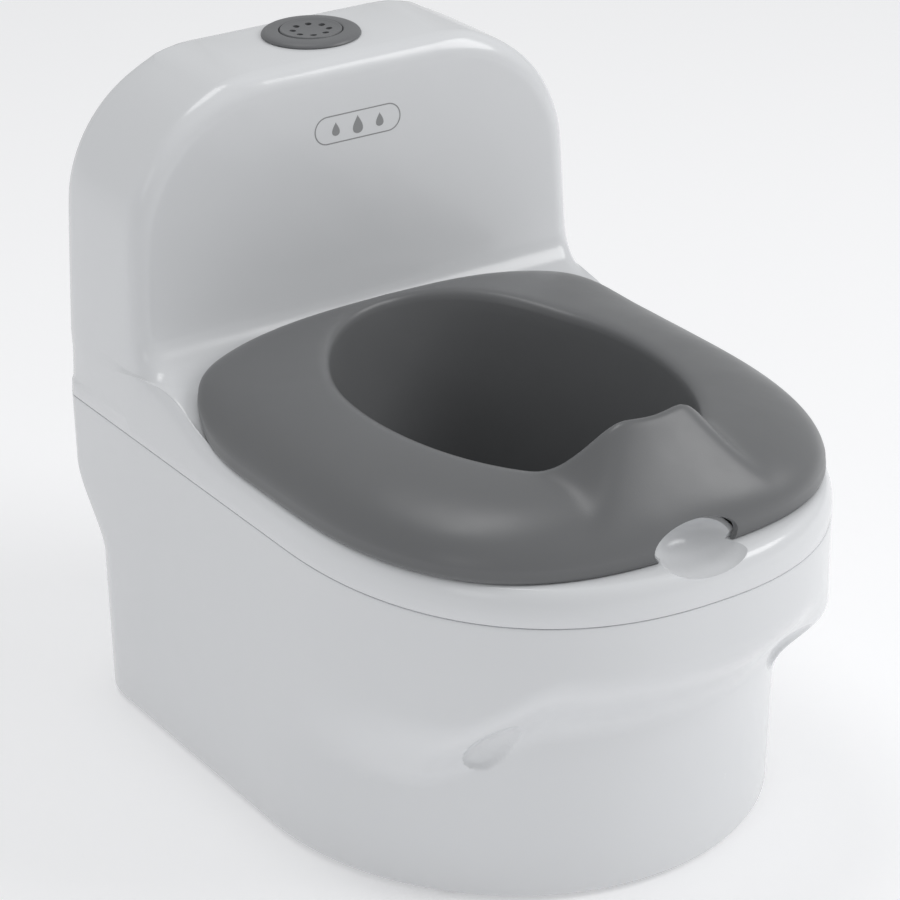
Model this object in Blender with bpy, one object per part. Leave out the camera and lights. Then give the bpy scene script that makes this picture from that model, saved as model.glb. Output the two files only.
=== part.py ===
"""Potty training chair: white two-part shell, grey lift-out seat and bowl, flushing-sound module.

Metres.  +Z is up, the front of the chair faces -Y, +X is to the right.  The origin is on the
floor under the middle of the chair.  Every sub-part is its own object; a piece that moves has
its origin on the axis of its joint.
"""
import math

import bmesh
import bpy
import numpy as np

# ---- fits -------------------------------------------------------------------------------
GAP = 0.0003                 # clearance between pieces that touch
WALL = 0.0026                # moulded wall of both shells

# ---- overall size -----------------------------------------------------------------------
BODY_HALF_WIDTH = 0.130      # at the seam
BODY_REAR = 0.1845
BODY_FRONT = -0.1845         # foremost point of the bulge under the seat
TOTAL_HEIGHT = 0.330         # top of the tank
SEAM_HEIGHT = 0.160          # joint between base shell and upper shell

# ---- body shell -------------------------------------------------------------------------
BASE_HALF_WIDTH = BODY_HALF_WIDTH - 0.0015     # at the floor
PEDESTAL_FRONT = BODY_FRONT + 0.0355           # front of the pedestal at the floor
PEDESTAL_DRAFT = 0.005       # how far the pedestal front leans out by the crease
BASE_BOTTOM = 0.002          # the shell stands this far off the floor on its feet
BASE_EDGE = 0.003            # rounding round the bottom edge
FLOOR_THICKNESS = 0.003
CREASE_HEIGHT = 0.525 * SEAM_HEIGHT            # the bulge meets the pedestal here at the front
CREASE_SIDE_HEIGHT = 0.344 * SEAM_HEIGHT       # and the crease runs out here at the sides
CREASE_TURN = (35.0, 64.0)   # degrees round the front curve between side and front crease
BULGE_RISE = 0.70 * (SEAM_HEIGHT - CREASE_HEIGHT)   # from the crease to the bulge's full size
BODY_FRONT_START = -0.030    # the front curve starts here on the bulge
BASE_FRONT_START = -0.008    # and here on the pedestal
BODY_POWER = 2.3             # roundness of the front curve, 2 is an ellipse
BASE_POWER = 2.0
BODY_CORNER = 0.012          # rear corner of the upper body, in plan
BASE_CORNER = 0.034          # rear corner of the pedestal
BASE_REAR_STEP = 0.007       # the pedestal's back is this far in front of the tank's back
REAR_STEP_HEIGHT = (0.49 * SEAM_HEIGHT, 0.775 * SEAM_HEIGHT)

# ---- seam tongue ------------------------------------------------------------------------
TONGUE_HEIGHT = 0.0034
TONGUE_THICKNESS = 0.0012

# ---- upper shell ------------------------------------------------------------------------
DECK_HEIGHT = SEAM_HEIGHT + 0.018              # top of the deck under the seat
SHOULDER_START = SEAM_HEIGHT + 0.006           # the shoulder rounds over from here to the deck
SHOULDER_INSET = 0.006
RAMP_LENGTH = 0.050          # the deck climbs towards the tank over this length
DECK_RISE = 0.016
TANK_FRONT = BODY_REAR - 0.0765                # front face of the tank
TANK_CORNER = 0.011          # rounding round the front face of the tank
TANK_REAR_ROUND = 0.010
TANK_HALF_WIDTH = BODY_HALF_WIDTH - 0.0045     # where the arch starts
ARCH_RADIUS = 0.075
TANK_FOOT = 0.022            # hollow fillet between deck and tank

# ---- seat and bowl insert ---------------------------------------------------------------
SEAT_WALL = 0.0025
SEAT_HALF_WIDTH = BODY_HALF_WIDTH - 0.003
SEAT_FRONT = BODY_FRONT + 0.0155
SEAT_REAR = TANK_FRONT - 0.0130
SEAT_LIP = 0.003             # upright edge of the flange
SEAT_REAR_POWER = 4.4        # the flange is nearly square at the back
SEAT_FRONT_POWER = 2.75
RAMP_STAND_OFF = 0.0022      # the flange bears on the flat deck only and clears the ramp
SEAT_MIDDLE = -0.020         # widest line of the opening
OPENING_HALF_WIDTH = SEAT_HALF_WIDTH - 0.053
OPENING_FRONT = SEAT_FRONT + 0.036
OPENING_REAR = SEAT_REAR - 0.017
CREST_HEIGHT = DECK_HEIGHT + 0.030             # top of the ring at the sides
CREST_REAR_RISE = 0.007
GUARD_RISE = 0.030           # splash guard above the ring
GUARD_HALF_WIDTH = 0.042
GUARD_CORNER = 0.26          # share of that width which is level
GUARD_SPREAD = 0.028         # its front panel is this much wider at the flange
GUARD_SWEEP = 1.55           # how hollow the front panel is
SEAT_EDGE_RISE = 0.006       # rounding of the flange in front of the guard
BOWL_FLOOR = 0.066
BOWL_TAPER = 0.78            # width of the bowl floor against the opening
BOWL_CORNER = 0.020
DECK_HOLE_CLEARANCE = 0.0015
NOTCH_HALF_WIDTH = 0.024     # finger recess at the front rim
NOTCH_DEPTH = 0.021
NOTCH_HEIGHT = 0.011
NOTCH_RISE = 0.005           # its middle lies this far above the deck
NOTCH_MIDDLE = BODY_FRONT + 0.0085

# ---- egg-shaped dimples of the pedestal ---------------------------------------------------
DIMPLE_X = 0.64 * BODY_HALF_WIDTH
DIMPLE_HEIGHT = CREASE_HEIGHT + 0.004
DIMPLE_HALF_WIDTH = 0.0105
DIMPLE_HALF_HEIGHT = 0.0155
DIMPLE_DEPTH = 0.0070
DIMPLE_BLUNTNESS = 0.22      # how much wider the top half is

# ---- shell screws, posts and feet ---------------------------------------------------------
SCREW_REAR = (BODY_HALF_WIDTH - 0.018, 0.062)
SCREW_FRONT = (BODY_HALF_WIDTH - 0.044, BODY_FRONT + 0.0865)
SCREW_PLACES = tuple((side * x, y) for x, y in (SCREW_REAR, SCREW_FRONT) for side in (-1, 1))
POST_RADIUS = 0.0070
POST_TOP = SEAM_HEIGHT - 0.012
POST_SHELF = POST_TOP - 0.007                  # screw head bears here
SCREW_SHANK = 0.0017
SCREW_HEAD = 0.0037
SCREW_HEAD_HEIGHT = 0.0024
SCREW_LENGTH = 0.020
BOSS_RADIUS = 0.0055
FOOT_REAR = (BODY_HALF_WIDTH - 0.032, BODY_REAR - 0.0385)
FOOT_FRONT = (BODY_HALF_WIDTH - 0.072, PEDESTAL_FRONT + 0.041)
FOOT_PLACES = tuple((side * x, y) for x, y in (FOOT_REAR, FOOT_FRONT) for side in (-1, 1))
FOOT_RADIUS = 0.0095
FOOT_STEM = 0.0038
FOOT_BARB = 0.0052
FOOT_RECESS = 0.001          # depth of the seat round each foot

# ---- flushing-sound module ----------------------------------------------------------------
MODULE_Y = 0.5 * (TANK_FRONT + BODY_REAR) + 0.00375
BEZEL_RADIUS = 0.0247
BEZEL_HEIGHT = 0.0024
MODULE_RADIUS = 0.0205       # barrel of the module
HOUSING_WALL = 0.0018
BUTTON_RADIUS = 0.0155
BUTTON_DISH = 0.0012         # the button's face is hollowed by this much
BUTTON_PROUD = 0.0004        # its rim stands this far above the bezel
BUTTON_SKIN = 0.0016
BUTTON_TRAVEL = 0.0025
BUTTON_HOLES = 8
BUTTON_HOLE_RADIUS = 0.0017
BUTTON_HOLE_RING = 0.0090
BUTTON_FLANGE = 0.0174
BOARD_Z = TOTAL_HEIGHT - 0.0225                # underside of the circuit board
BOARD_THICKNESS = 0.0012
BOARD_RADIUS = MODULE_RADIUS - 0.0029
SWITCH_HEIGHT = 0.0048
SWITCH_PLACE = 0.0138        # off the module's axis, towards the front
CUP_BOTTOM = BOARD_Z - 0.0195
CELL_RADIUS = 0.0058
CELL_HEIGHT = 0.0054
CELL_RING = 0.0076
SPEAKER_RADIUS = 0.0085
DOOR_RADIUS = MODULE_RADIUS - 0.0055
DOOR_THICKNESS = 0.0016

# ---- mesh fineness ------------------------------------------------------------------------
CORNER_STEPS = 3
FLANK_STEPS = 1
SIDE_STEPS = 7
FRONT_STEPS = 12
ROUND = 28
SMALL_ROUND = 14
FOOT_ROUND = 16
RIM_ROW = 8                  # last row of the ring's skin before the rim rolls over

COLOURS = {
    "white_shell": ((0.86, 0.87, 0.88), 0.16, 0.0),
    "grey_seat": ((0.17, 0.175, 0.185), 0.30, 0.0),
    "grey_module": ((0.22, 0.225, 0.235), 0.34, 0.0),
    "dark_plastic": ((0.035, 0.035, 0.04), 0.45, 0.0),
    "rubber": ((0.05, 0.05, 0.052), 0.80, 0.0),
    "steel": ((0.62, 0.62, 0.64), 0.28, 1.0),
    "brass": ((0.75, 0.57, 0.25), 0.30, 1.0),
    "board_green": ((0.02, 0.16, 0.07), 0.40, 0.0),
    "paper_cone": ((0.06, 0.06, 0.065), 0.85, 0.0),
    "red_wire": ((0.50, 0.02, 0.02), 0.45, 0.0),
    "black_wire": ((0.02, 0.02, 0.02), 0.45, 0.0),
}


# ==== small helpers ========================================================================
def clear_scene():
    for item in list(bpy.data.objects):
        bpy.data.objects.remove(item, do_unlink=True)


def make_materials():
    made = {}
    for name, (colour, roughness, metallic) in COLOURS.items():
        material = bpy.data.materials.new(name)
        material.use_nodes = True
        shader = material.node_tree.nodes["Principled BSDF"]
        shader.inputs["Base Color"].default_value = (*colour, 1.0)
        shader.inputs["Roughness"].default_value = roughness
        shader.inputs["Metallic"].default_value = metallic
        made[name] = material
    return made


def smooth_step(low, high, value):
    t = min(1.0, max(0.0, (value - low) / (high - low)))
    return t * t * (3.0 - 2.0 * t)


def mix(a, b, t):
    return a + (b - a) * t


def make_object(name, vertices, faces, material, origin=(0.0, 0.0, 0.0)):
    """A closed mesh object; vertices are given in world coordinates."""
    mesh = bpy.data.meshes.new(name)
    shift = np.array(origin)
    mesh.from_pydata([tuple(np.array(v) - shift) for v in vertices], [], faces)
    work = bmesh.new()
    work.from_mesh(mesh)
    bmesh.ops.remove_doubles(work, verts=work.verts, dist=1e-6)
    bmesh.ops.dissolve_degenerate(work, edges=work.edges, dist=1e-7)
    bmesh.ops.recalc_face_normals(work, faces=work.faces)
    work.to_mesh(mesh)
    work.free()
    item = bpy.data.objects.new(name, mesh)
    item.location = origin
    bpy.context.collection.objects.link(item)
    if material:
        mesh.materials.append(material)
    return item


def finish(item, angle=35.0):
    """Triangulate the long polygons and shade smoothly up to the sharp-edge angle."""
    work = bmesh.new()
    work.from_mesh(item.data)
    big = [f for f in work.faces if len(f.verts) > 4]
    bmesh.ops.triangulate(work, faces=big)
    work.to_mesh(item.data)
    work.free()
    item.data.shade_smooth()
    item.data.set_sharp_from_angle(angle=math.radians(angle))
    return item


def loft(name, rings, material=None, closed=False, origin=(0.0, 0.0, 0.0)):
    """Skin a stack of equal-length rings; the ends are capped unless the stack closes on itself."""
    count = len(rings[0])
    vertices = [tuple(p) for ring in rings for p in ring]
    faces = []
    last = len(rings) if closed else len(rings) - 1
    for r in range(last):
        a, b = r * count, ((r + 1) % len(rings)) * count
        for i in range(count):
            j = (i + 1) % count
            faces.append((a + i, a + j, b + j, b + i))
    if not closed:
        faces.append(tuple(range(count - 1, -1, -1)))
        top = (len(rings) - 1) * count
        faces.append(tuple(top + i for i in range(count)))
    return make_object(name, vertices, faces, material, origin)


def turned(name, profile, centre, material=None, steps=ROUND, origin=None):
    """Revolve (radius, height) pairs about the vertical line through centre; ends on the axis."""
    cx, cy = centre
    vertices, rows = [], []
    for radius, height in profile:
        if radius < 1e-9:
            rows.append([len(vertices)])
            vertices.append((cx, cy, height))
            continue
        rows.append(list(range(len(vertices), len(vertices) + steps)))
        for k in range(steps):
            a = 2.0 * math.pi * k / steps
            vertices.append((cx + radius * math.cos(a), cy + radius * math.sin(a), height))
    faces = []
    closed = profile[0][0] > 1e-9
    pairs = list(zip(rows, rows[1:])) + ([(rows[-1], rows[0])] if closed else [])
    for low, high in pairs:
        for k in range(steps):
            j = (k + 1) % steps
            if len(low) == 1:
                faces.append((low[0], high[k], high[j]))
            elif len(high) == 1:
                faces.append((low[k], low[j], high[0]))
            else:
                faces.append((low[k], low[j], high[j], high[k]))
    return make_object(name, vertices, faces, material, origin or (0.0, 0.0, 0.0))


def box(name, low, high, material=None, origin=(0.0, 0.0, 0.0)):
    (x0, y0, z0), (x1, y1, z1) = low, high
    ring = [(x0, y0), (x1, y0), (x1, y1), (x0, y1)]
    return loft(name, [[(x, y, z0) for x, y in ring], [(x, y, z1) for x, y in ring]],
                material, origin=origin)


def ellipsoid(name, centre, radii, steps=24, rows=12):
    vertices = [(centre[0], centre[1], centre[2] - radii[2])]
    for r in range(1, rows):
        a = -math.pi / 2 + math.pi * r / rows
        for k in range(steps):
            b = 2.0 * math.pi * k / steps
            vertices.append((centre[0] + radii[0] * math.cos(a) * math.cos(b),
                             centre[1] + radii[1] * math.cos(a) * math.sin(b),
                             centre[2] + radii[2] * math.sin(a)))
    vertices.append((centre[0], centre[1], centre[2] + radii[2]))
    faces = [(0, 1 + (k + 1) % steps, 1 + k) for k in range(steps)]
    for r in range(rows - 2):
        a, b = 1 + r * steps, 1 + (r + 1) * steps
        faces += [(a + k, a + (k + 1) % steps, b + (k + 1) % steps, b + k) for k in range(steps)]
    a, top = 1 + (rows - 2) * steps, len(vertices) - 1
    faces += [(a + k, a + (k + 1) % steps, top) for k in range(steps)]
    return make_object(name, vertices, faces, None)


def combine(target, tool, operation, solver="EXACT"):
    """Cut, join or intersect target with tool, then discard the tool."""
    modifier = target.modifiers.new("step", "BOOLEAN")
    modifier.operation = operation
    modifier.solver = solver
    modifier.object = tool
    bpy.context.view_layer.update()
    graph = bpy.context.evaluated_depsgraph_get()
    mesh = bpy.data.meshes.new_from_object(target.evaluated_get(graph))
    target.modifiers.remove(modifier)
    old = target.data
    target.data = mesh
    mesh.name = old.name
    bpy.data.meshes.remove(old)
    bpy.data.objects.remove(tool, do_unlink=True)
    work = bmesh.new()
    work.from_mesh(target.data)
    bmesh.ops.remove_doubles(work, verts=work.verts, dist=2e-6)
    bmesh.ops.dissolve_degenerate(work, edges=work.edges, dist=1e-7)
    work.to_mesh(target.data)
    work.free()
    return target


def cut(target, tool):
    return combine(target, tool, "DIFFERENCE")


def join(target, tool):
    return combine(target, tool, "UNION")


def mirrored(half):
    """Close a half outline (rear centre to front centre, +X side) into a full ring."""
    other = [(-x, y, z) for x, y, z in half[-2:0:-1]]
    return list(half) + other


# ==== plan outlines ========================================================================
def front_curve(half_width, start, front, power, steps):
    points = []
    for k in range(1, steps + 1):
        a = 0.5 * math.pi * k / steps
        c, s = max(0.0, math.cos(a)), math.sin(a)
        if k == steps:
            c = 0.0
        points.append((half_width * c ** (2.0 / power), start + (front - start) * s ** (2.0 / power)))
    return points


def rear_points(half_width, rear, corner, side_end):
    """Rear centre, rear corner and the flank down to side_end."""
    points = [(half_width - corner, rear)]
    points.insert(0, (0.0, rear))
    for k in range(1, CORNER_STEPS + 1):
        a = 0.5 * math.pi * (1.0 - k / CORNER_STEPS)
        points.append((half_width - corner + corner * math.cos(a),
                       rear - corner + corner * math.sin(a)))
    for k in range(1, FLANK_STEPS + 1):
        points.append((half_width, mix(rear - corner, side_end, k / FLANK_STEPS)))
    return points


def flank_end():
    return TANK_FRONT + TANK_CORNER


def body_half(half_width, rear, front, corner, front_start, power):
    """Right half of the body outline at one height, as (x, y) pairs."""
    points = rear_points(half_width, rear, corner, flank_end())
    for k in range(1, SIDE_STEPS + 1):
        points.append((half_width, mix(flank_end(), front_start, (k / SIDE_STEPS) ** 1.6)))
    return points + front_curve(half_width, front_start, front, power, FRONT_STEPS)


def crease_height(index):
    """Height of the crease at one point of the outline; it arches over the front."""
    first = fixed_count() + SIDE_STEPS - 1
    around = 90.0 * (index - first) / FRONT_STEPS
    return mix(CREASE_SIDE_HEIGHT, CREASE_HEIGHT, smooth_step(*CREASE_TURN, around))


def pedestal_section(z, inset=0.0):
    """Outline values of the pedestal at height z, moved in by inset."""
    back = smooth_step(*REAR_STEP_HEIGHT, z)
    lean = PEDESTAL_DRAFT * min(1.0, z / CREASE_HEIGHT)
    return dict(
        half_width=mix(BASE_HALF_WIDTH, BODY_HALF_WIDTH, min(1.0, z / SEAM_HEIGHT)) - inset,
        rear=BODY_REAR - BASE_REAR_STEP * (1.0 - back) - inset,
        front=PEDESTAL_FRONT - lean + inset,
        corner=max(0.002, mix(BASE_CORNER, BODY_CORNER, back) - inset),
        front_start=BASE_FRONT_START, power=BASE_POWER)


def body_section(z, inset=0.0):
    """Outline values of the full body at height z, moved in by inset."""
    section = pedestal_section(z, inset)
    section.update(front=BODY_FRONT + inset, front_start=BODY_FRONT_START, power=BODY_POWER)
    return section


def body_ring(z, inset=0.0):
    """Body outline at height z: the pedestal below the crease, swelling to the full body above."""
    low = body_half(**pedestal_section(z, inset))
    high = body_half(**body_section(z, inset))
    half = []
    for index, (p, q) in enumerate(zip(low, high)):
        start = crease_height(index)
        share = smooth_step(start, start + BULGE_RISE, z)
        half.append((mix(p[0], q[0], share), mix(p[1], q[1], share), z))
    return mirrored(half)


# ==== base shell ===========================================================================
def base_outer():
    rings = []
    for angle in (0.0, 35.0, 90.0):
        a = math.radians(angle)
        z = BASE_BOTTOM + BASE_EDGE * (1.0 - math.cos(a))
        rings.append(body_ring(z, BASE_EDGE * (1.0 - math.sin(a))))
    top = CREASE_HEIGHT + BULGE_RISE
    heights = [0.5 * CREASE_SIDE_HEIGHT, CREASE_SIDE_HEIGHT]
    heights += [mix(CREASE_SIDE_HEIGHT, top, t) for t in (0.1, 0.2, 0.3, 0.4, 0.5, 0.62, 0.75, 0.88, 1.0)]
    heights.append(SEAM_HEIGHT)
    rings += [body_ring(z) for z in heights]
    step = WALL - TONGUE_THICKNESS
    rings.append(body_ring(SEAM_HEIGHT, step))
    rings.append(body_ring(SEAM_HEIGHT + TONGUE_HEIGHT, step))
    return loft("base_shell", rings)


def base_cavity():
    top = CREASE_HEIGHT + BULGE_RISE
    heights = [BASE_BOTTOM + FLOOR_THICKNESS, CREASE_SIDE_HEIGHT]
    heights += [mix(CREASE_SIDE_HEIGHT, top, t) for t in (0.2, 0.4, 0.6, 0.8, 1.0)] + [SEAM_HEIGHT]
    rings = [body_ring(z, WALL) for z in heights]
    rings.append([(x, y, SEAM_HEIGHT + 2.0 * TONGUE_HEIGHT) for x, y, _ in rings[-1]])
    return loft("base_cavity", rings)


def skin_depth(x, z):
    """Depth of the body's front skin at width x and height z."""
    ring = body_ring(z)
    half = [(p[0], p[1]) for p in ring[fixed_count():fixed_count() + SIDE_STEPS + FRONT_STEPS]]
    for (x0, y0), (x1, y1) in zip(half, half[1:]):
        if x1 <= x <= x0 and x0 > x1:
            return mix(y0, y1, (x0 - x) / (x0 - x1))
    return half[-1][1]


def skin_slope(x, z, dx, dz):
    """Change of the front skin's depth per unit of width or height."""
    step = math.hypot(dx, dz)
    return (skin_depth(x + dx, z + dz) - skin_depth(x - dx, z - dz)) / (2.0 * step)


def egg(name, side, grow):
    """Egg that dents the front skin and leans with it, blunt end up; grown by a wall for its inside."""
    turn = math.atan(skin_slope(DIMPLE_X, DIMPLE_HEIGHT, 0.002, 0.0))
    lean = 0.5 * skin_slope(DIMPLE_X, DIMPLE_HEIGHT, 0.0, 0.5 * DIMPLE_HALF_HEIGHT)
    centre = np.array([DIMPLE_X, skin_depth(DIMPLE_X, DIMPLE_HEIGHT), DIMPLE_HEIGHT])
    item = ellipsoid(name, (0.0, 0.0, 0.0),
                     (DIMPLE_HALF_WIDTH + grow, DIMPLE_DEPTH + grow, DIMPLE_HALF_HEIGHT + grow), 20, 10)
    for v in item.data.vertices:
        across = v.co.x * (1.0 + DIMPLE_BLUNTNESS * v.co.z / DIMPLE_HALF_HEIGHT)
        deep = v.co.y
        v.co.x = side * (across * math.cos(turn) - deep * math.sin(turn) + centre[0])
        v.co.y = across * math.sin(turn) + deep * math.cos(turn) + lean * v.co.z + centre[1]
        v.co.z += centre[2]
    if side < 0:
        item.data.flip_normals()
    return item


def build_base(mats):
    shell = base_outer()
    cavity = base_cavity()
    for side in (-1, 1):
        cut(cavity, egg("egg_inside", side, WALL))
    cut(shell, cavity)
    for side in (-1, 1):
        cut(shell, egg("egg_dent", side, 0.0))
    floor = BASE_BOTTOM + FLOOR_THICKNESS
    for x, y in SCREW_PLACES:
        join(shell, turned("post", [(0.0, floor - 0.001), (POST_RADIUS, floor - 0.001),
                                    (POST_RADIUS, POST_TOP), (0.0, POST_TOP)], (x, y), steps=14))
        well = SCREW_HEAD + 0.0009
        hole = SCREW_SHANK + 0.0004
        cut(shell, turned("well", [(0.0, -0.01), (well, -0.01), (well, POST_SHELF), (hole, POST_SHELF),
                                   (hole, POST_TOP + 0.01), (0.0, POST_TOP + 0.01)], (x, y), steps=12))
    for x, y in FOOT_PLACES:
        pad = FOOT_RADIUS + GAP
        stem = FOOT_STEM + GAP
        cut(shell, turned("foot_seat", [(0.0, -0.01), (pad, -0.01), (pad, BASE_BOTTOM + FOOT_RECESS),
                                        (stem, BASE_BOTTOM + FOOT_RECESS), (stem, floor + 0.01),
                                        (0.0, floor + 0.01)], (x, y), steps=FOOT_ROUND))
    shell.data.materials.clear()
    shell.data.materials.append(mats["white_shell"])
    return finish(shell)


def build_feet(mats):
    floor = BASE_BOTTOM + FLOOR_THICKNESS
    seat = BASE_BOTTOM + FOOT_RECESS - GAP
    for number, (x, y) in enumerate(FOOT_PLACES, 1):
        profile = [(0.0, 0.0), (FOOT_RADIUS - 0.001, 0.0), (FOOT_RADIUS, 0.0008),
                   (FOOT_RADIUS, seat), (FOOT_STEM, seat), (FOOT_STEM, floor + GAP),
                   (FOOT_BARB, floor + GAP), (FOOT_STEM - 0.0012, floor + 0.0036),
                   (0.0, floor + 0.0036)]
        finish(turned("rubber_foot_%d" % number, profile, (x, y), mats["rubber"], FOOT_ROUND))


# ==== upper shell ==========================================================================
def ramp(y):
    end = TANK_FRONT - TANK_FOOT
    return DECK_RISE * smooth_step(end - RAMP_LENGTH, end, y)


def deck_surface(y):
    """Height of the deck at depth y, along the ramp and up the hollow fillet."""
    start = TANK_FRONT - TANK_FOOT
    height = DECK_HEIGHT + ramp(y)
    if y > start:
        reach = min(TANK_FOOT, y - start)
        height += TANK_FOOT - math.sqrt(TANK_FOOT ** 2 - reach ** 2)
    return height


def arch_width(z, inset, wall):
    """Half width of the tank's arch, moved in by inset, at height z."""
    centre = TOTAL_HEIGHT - ARCH_RADIUS
    up = (z - SEAM_HEIGHT) / (centre - SEAM_HEIGHT)
    straight = mix(BODY_HALF_WIDTH, TANK_HALF_WIDTH, min(1.0, max(0.0, up))) - wall - inset
    if z <= centre:
        return straight
    radius = max(1e-6, ARCH_RADIUS - wall - inset)
    rise = min(radius, z - centre)
    return straight - (radius - math.sqrt(radius ** 2 - rise ** 2))


def tank_half(z, wall, foot=0.0, foot_z=None):
    """Right half of the tank outline; foot moves its front forward for the hollow fillet."""
    top = TOTAL_HEIGHT - wall
    left_over = max(0.0, top - z)

    def limit(radius):
        return 0.5 * math.pi if left_over >= radius else math.acos(1.0 - left_over / radius)

    back, front = TANK_REAR_ROUND - wall, TANK_CORNER - wall
    rear = BODY_REAR - wall
    points = []
    a_max = limit(back)
    y_rear = rear - back * (1.0 - math.sin(a_max))
    points.append((0.0, y_rear))
    for k in range(CORNER_STEPS + 1):
        a = a_max * (1.0 - k / CORNER_STEPS)
        inset = back * (1.0 - math.cos(a))
        points.append((arch_width(z, inset, wall), rear - back * (1.0 - math.sin(a))))
    y_side = TANK_FRONT + TANK_CORNER
    points.append((arch_width(z, 0.0, wall), y_side))
    a_max = limit(front)
    face = TANK_FRONT + wall
    for k in range(1, SIDE_STEPS + 1):
        a = a_max * k / SIDE_STEPS
        inset = front * (1.0 - math.cos(a))
        points.append((arch_width(z, inset, wall),
                       face + front * (1.0 - math.sin(a)) - foot * math.sin(a)))
    x_end, y_end = points[-1]
    for k in range(1, FRONT_STEPS + 1):
        points.append((x_end * (1.0 - k / FRONT_STEPS), y_end))
    return [(x, y, z) for x, y in points]


def fixed_count():
    """Outline points from the rear centre to the tank's front corner."""
    return 2 + CORNER_STEPS + FLANK_STEPS


def shoulder_half(angle, wall, share):
    """Right half of the ring at one angle round the shoulder."""
    a = math.radians(angle)
    inset = (SHOULDER_INSET) * (1.0 - math.cos(a))
    z_up = SHOULDER_START + (DECK_HEIGHT - wall - SHOULDER_START) * math.sin(a)
    s = body_section(SEAM_HEIGHT, wall)
    plan = body_half(**s)
    half = []
    for index, (x, y) in enumerate(plan):
        if index < fixed_count():
            z = mix(SHOULDER_START, DECK_HEIGHT + DECK_RISE - wall, share)
            x = x * arch_width(z, 0.0, wall) / s["half_width"] if index else x
            half.append((x, y, z))
            continue
        k = smooth_step(0.0, 1.0, (flank_end() - y) / 0.040)
        scale = 1.0 - inset * k / s["half_width"]
        reach = s["front"] - s["front_start"]
        y_in = y if y > s["front_start"] else s["front_start"] + (y - s["front_start"]) * (1.0 + inset / reach)
        z = z_up + ramp(y_in) * math.sin(a)
        half.append((x * scale, y_in, z))
    return half


def blend_half(edge, foot, t, wall):
    half = []
    for index, (p, q) in enumerate(zip(edge, foot)):
        x, y, z = (mix(a, b, t) for a, b in zip(p, q))
        if index >= fixed_count():
            z = DECK_HEIGHT - wall + ramp(y)
        half.append((x, y, z))
    return half


def upper_rings(wall, shoulder_angles, deck_shares, foot_angles, arch_angles):
    rings = []
    for angle in shoulder_angles:
        rings.append(shoulder_half(angle, wall, 0.6 * angle / 90.0))
    radius = TANK_FOOT + wall
    base = DECK_HEIGHT + DECK_RISE - wall
    foot_start = tank_half(base, wall, radius)
    foot_start = [(x, y, z if i < fixed_count() else DECK_HEIGHT - wall + ramp(y))
                  for i, (x, y, z) in enumerate(foot_start)]
    edge = rings[-1]
    rings += [blend_half(edge, foot_start, t, wall) for t in deck_shares]
    rings.append(foot_start)
    for angle in foot_angles:
        a = math.radians(angle)
        rings.append(tank_half(base + radius * (1.0 - math.cos(a)), wall, radius * (1.0 - math.sin(a))))
    centre = TOTAL_HEIGHT - ARCH_RADIUS
    rings.append(tank_half(0.5 * (rings[-1][0][2] + centre), wall))
    rings.append(tank_half(centre, wall))
    reach = ARCH_RADIUS - wall
    rings += [tank_half(centre + reach * math.sin(math.radians(a)), wall) for a in arch_angles]
    return [mirrored(r) for r in rings]


def upper_outer():
    rings = [body_ring(SEAM_HEIGHT + GAP)]
    rings[0] = [(x, y, SEAM_HEIGHT + GAP) for x, y, _ in rings[0]]
    rings += upper_rings(0.0, (0.0, 25.0, 50.0, 72.0, 90.0), (0.25, 0.45, 0.6, 0.72, 0.82, 0.91),
                         (25.0, 45.0, 67.0, 90.0), (12, 24, 35, 46, 56, 65, 73, 80, 86, 90))
    return loft("upper_shell", rings)


def upper_cavity():
    tongue = WALL - TONGUE_THICKNESS - GAP
    start = SEAM_HEIGHT + TONGUE_HEIGHT + GAP

    def flat(inset, z):
        return [(x, y, z) for x, y, _ in body_ring(SEAM_HEIGHT, inset)]

    rings = [flat(tongue, SEAM_HEIGHT - 0.01), flat(tongue, start), flat(WALL, start)]
    rings += upper_rings(WALL, (0.0, 45.0, 90.0), (0.4, 0.75), (45.0, 90.0),
                         (18, 34, 50, 64, 76, 85, 90))
    return loft("upper_cavity", rings)


def finger_scoop(name, grow):
    return ellipsoid(name, (0.0, NOTCH_MIDDLE, DECK_HEIGHT + NOTCH_RISE),
                     (NOTCH_HALF_WIDTH + grow, NOTCH_DEPTH + grow, NOTCH_HEIGHT + grow), 28, 12)


def build_upper(mats):
    shell = upper_outer()
    cavity = upper_cavity()
    cut(cavity, finger_scoop("scoop_inside", WALL))
    cut(shell, cavity)
    join(shell, scoop_wall())
    cut(shell, finger_scoop("scoop", 0.0))
    hole = [rim_point(j, DECK_HOLE_CLEARANCE + SEAT_WALL) for j in range(seat_count())]
    cut(shell, loft("bowl_hole", [[(x, y, DECK_HEIGHT - 0.02) for x, y in hole],
                                  [(x, y, DECK_HEIGHT + 0.05) for x, y in hole]]))
    cut(shell, turned("module_hole", [(0.0, TOTAL_HEIGHT - 0.01), (MODULE_RADIUS + GAP, TOTAL_HEIGHT - 0.01),
                                      (MODULE_RADIUS + GAP, TOTAL_HEIGHT + 0.01),
                                      (0.0, TOTAL_HEIGHT + 0.01)], (0.0, MODULE_Y), steps=ROUND))
    low = POST_TOP + GAP
    for x, y in SCREW_PLACES:
        top = deck_surface(y) - 0.5 * WALL
        join(shell, turned("boss", [(0.0, low), (BOSS_RADIUS, low), (BOSS_RADIUS, top), (0.0, top)],
                           (x, y), steps=12))
        pilot = SCREW_SHANK + GAP
        cut(shell, turned("pilot", [(0.0, low - 0.01), (pilot, low - 0.01), (pilot, low + 0.0165),
                                    (0.0, low + 0.0165)], (x, y), steps=10))
    shell.data.materials.clear()
    shell.data.materials.append(mats["white_shell"])
    return finish(shell)


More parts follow.
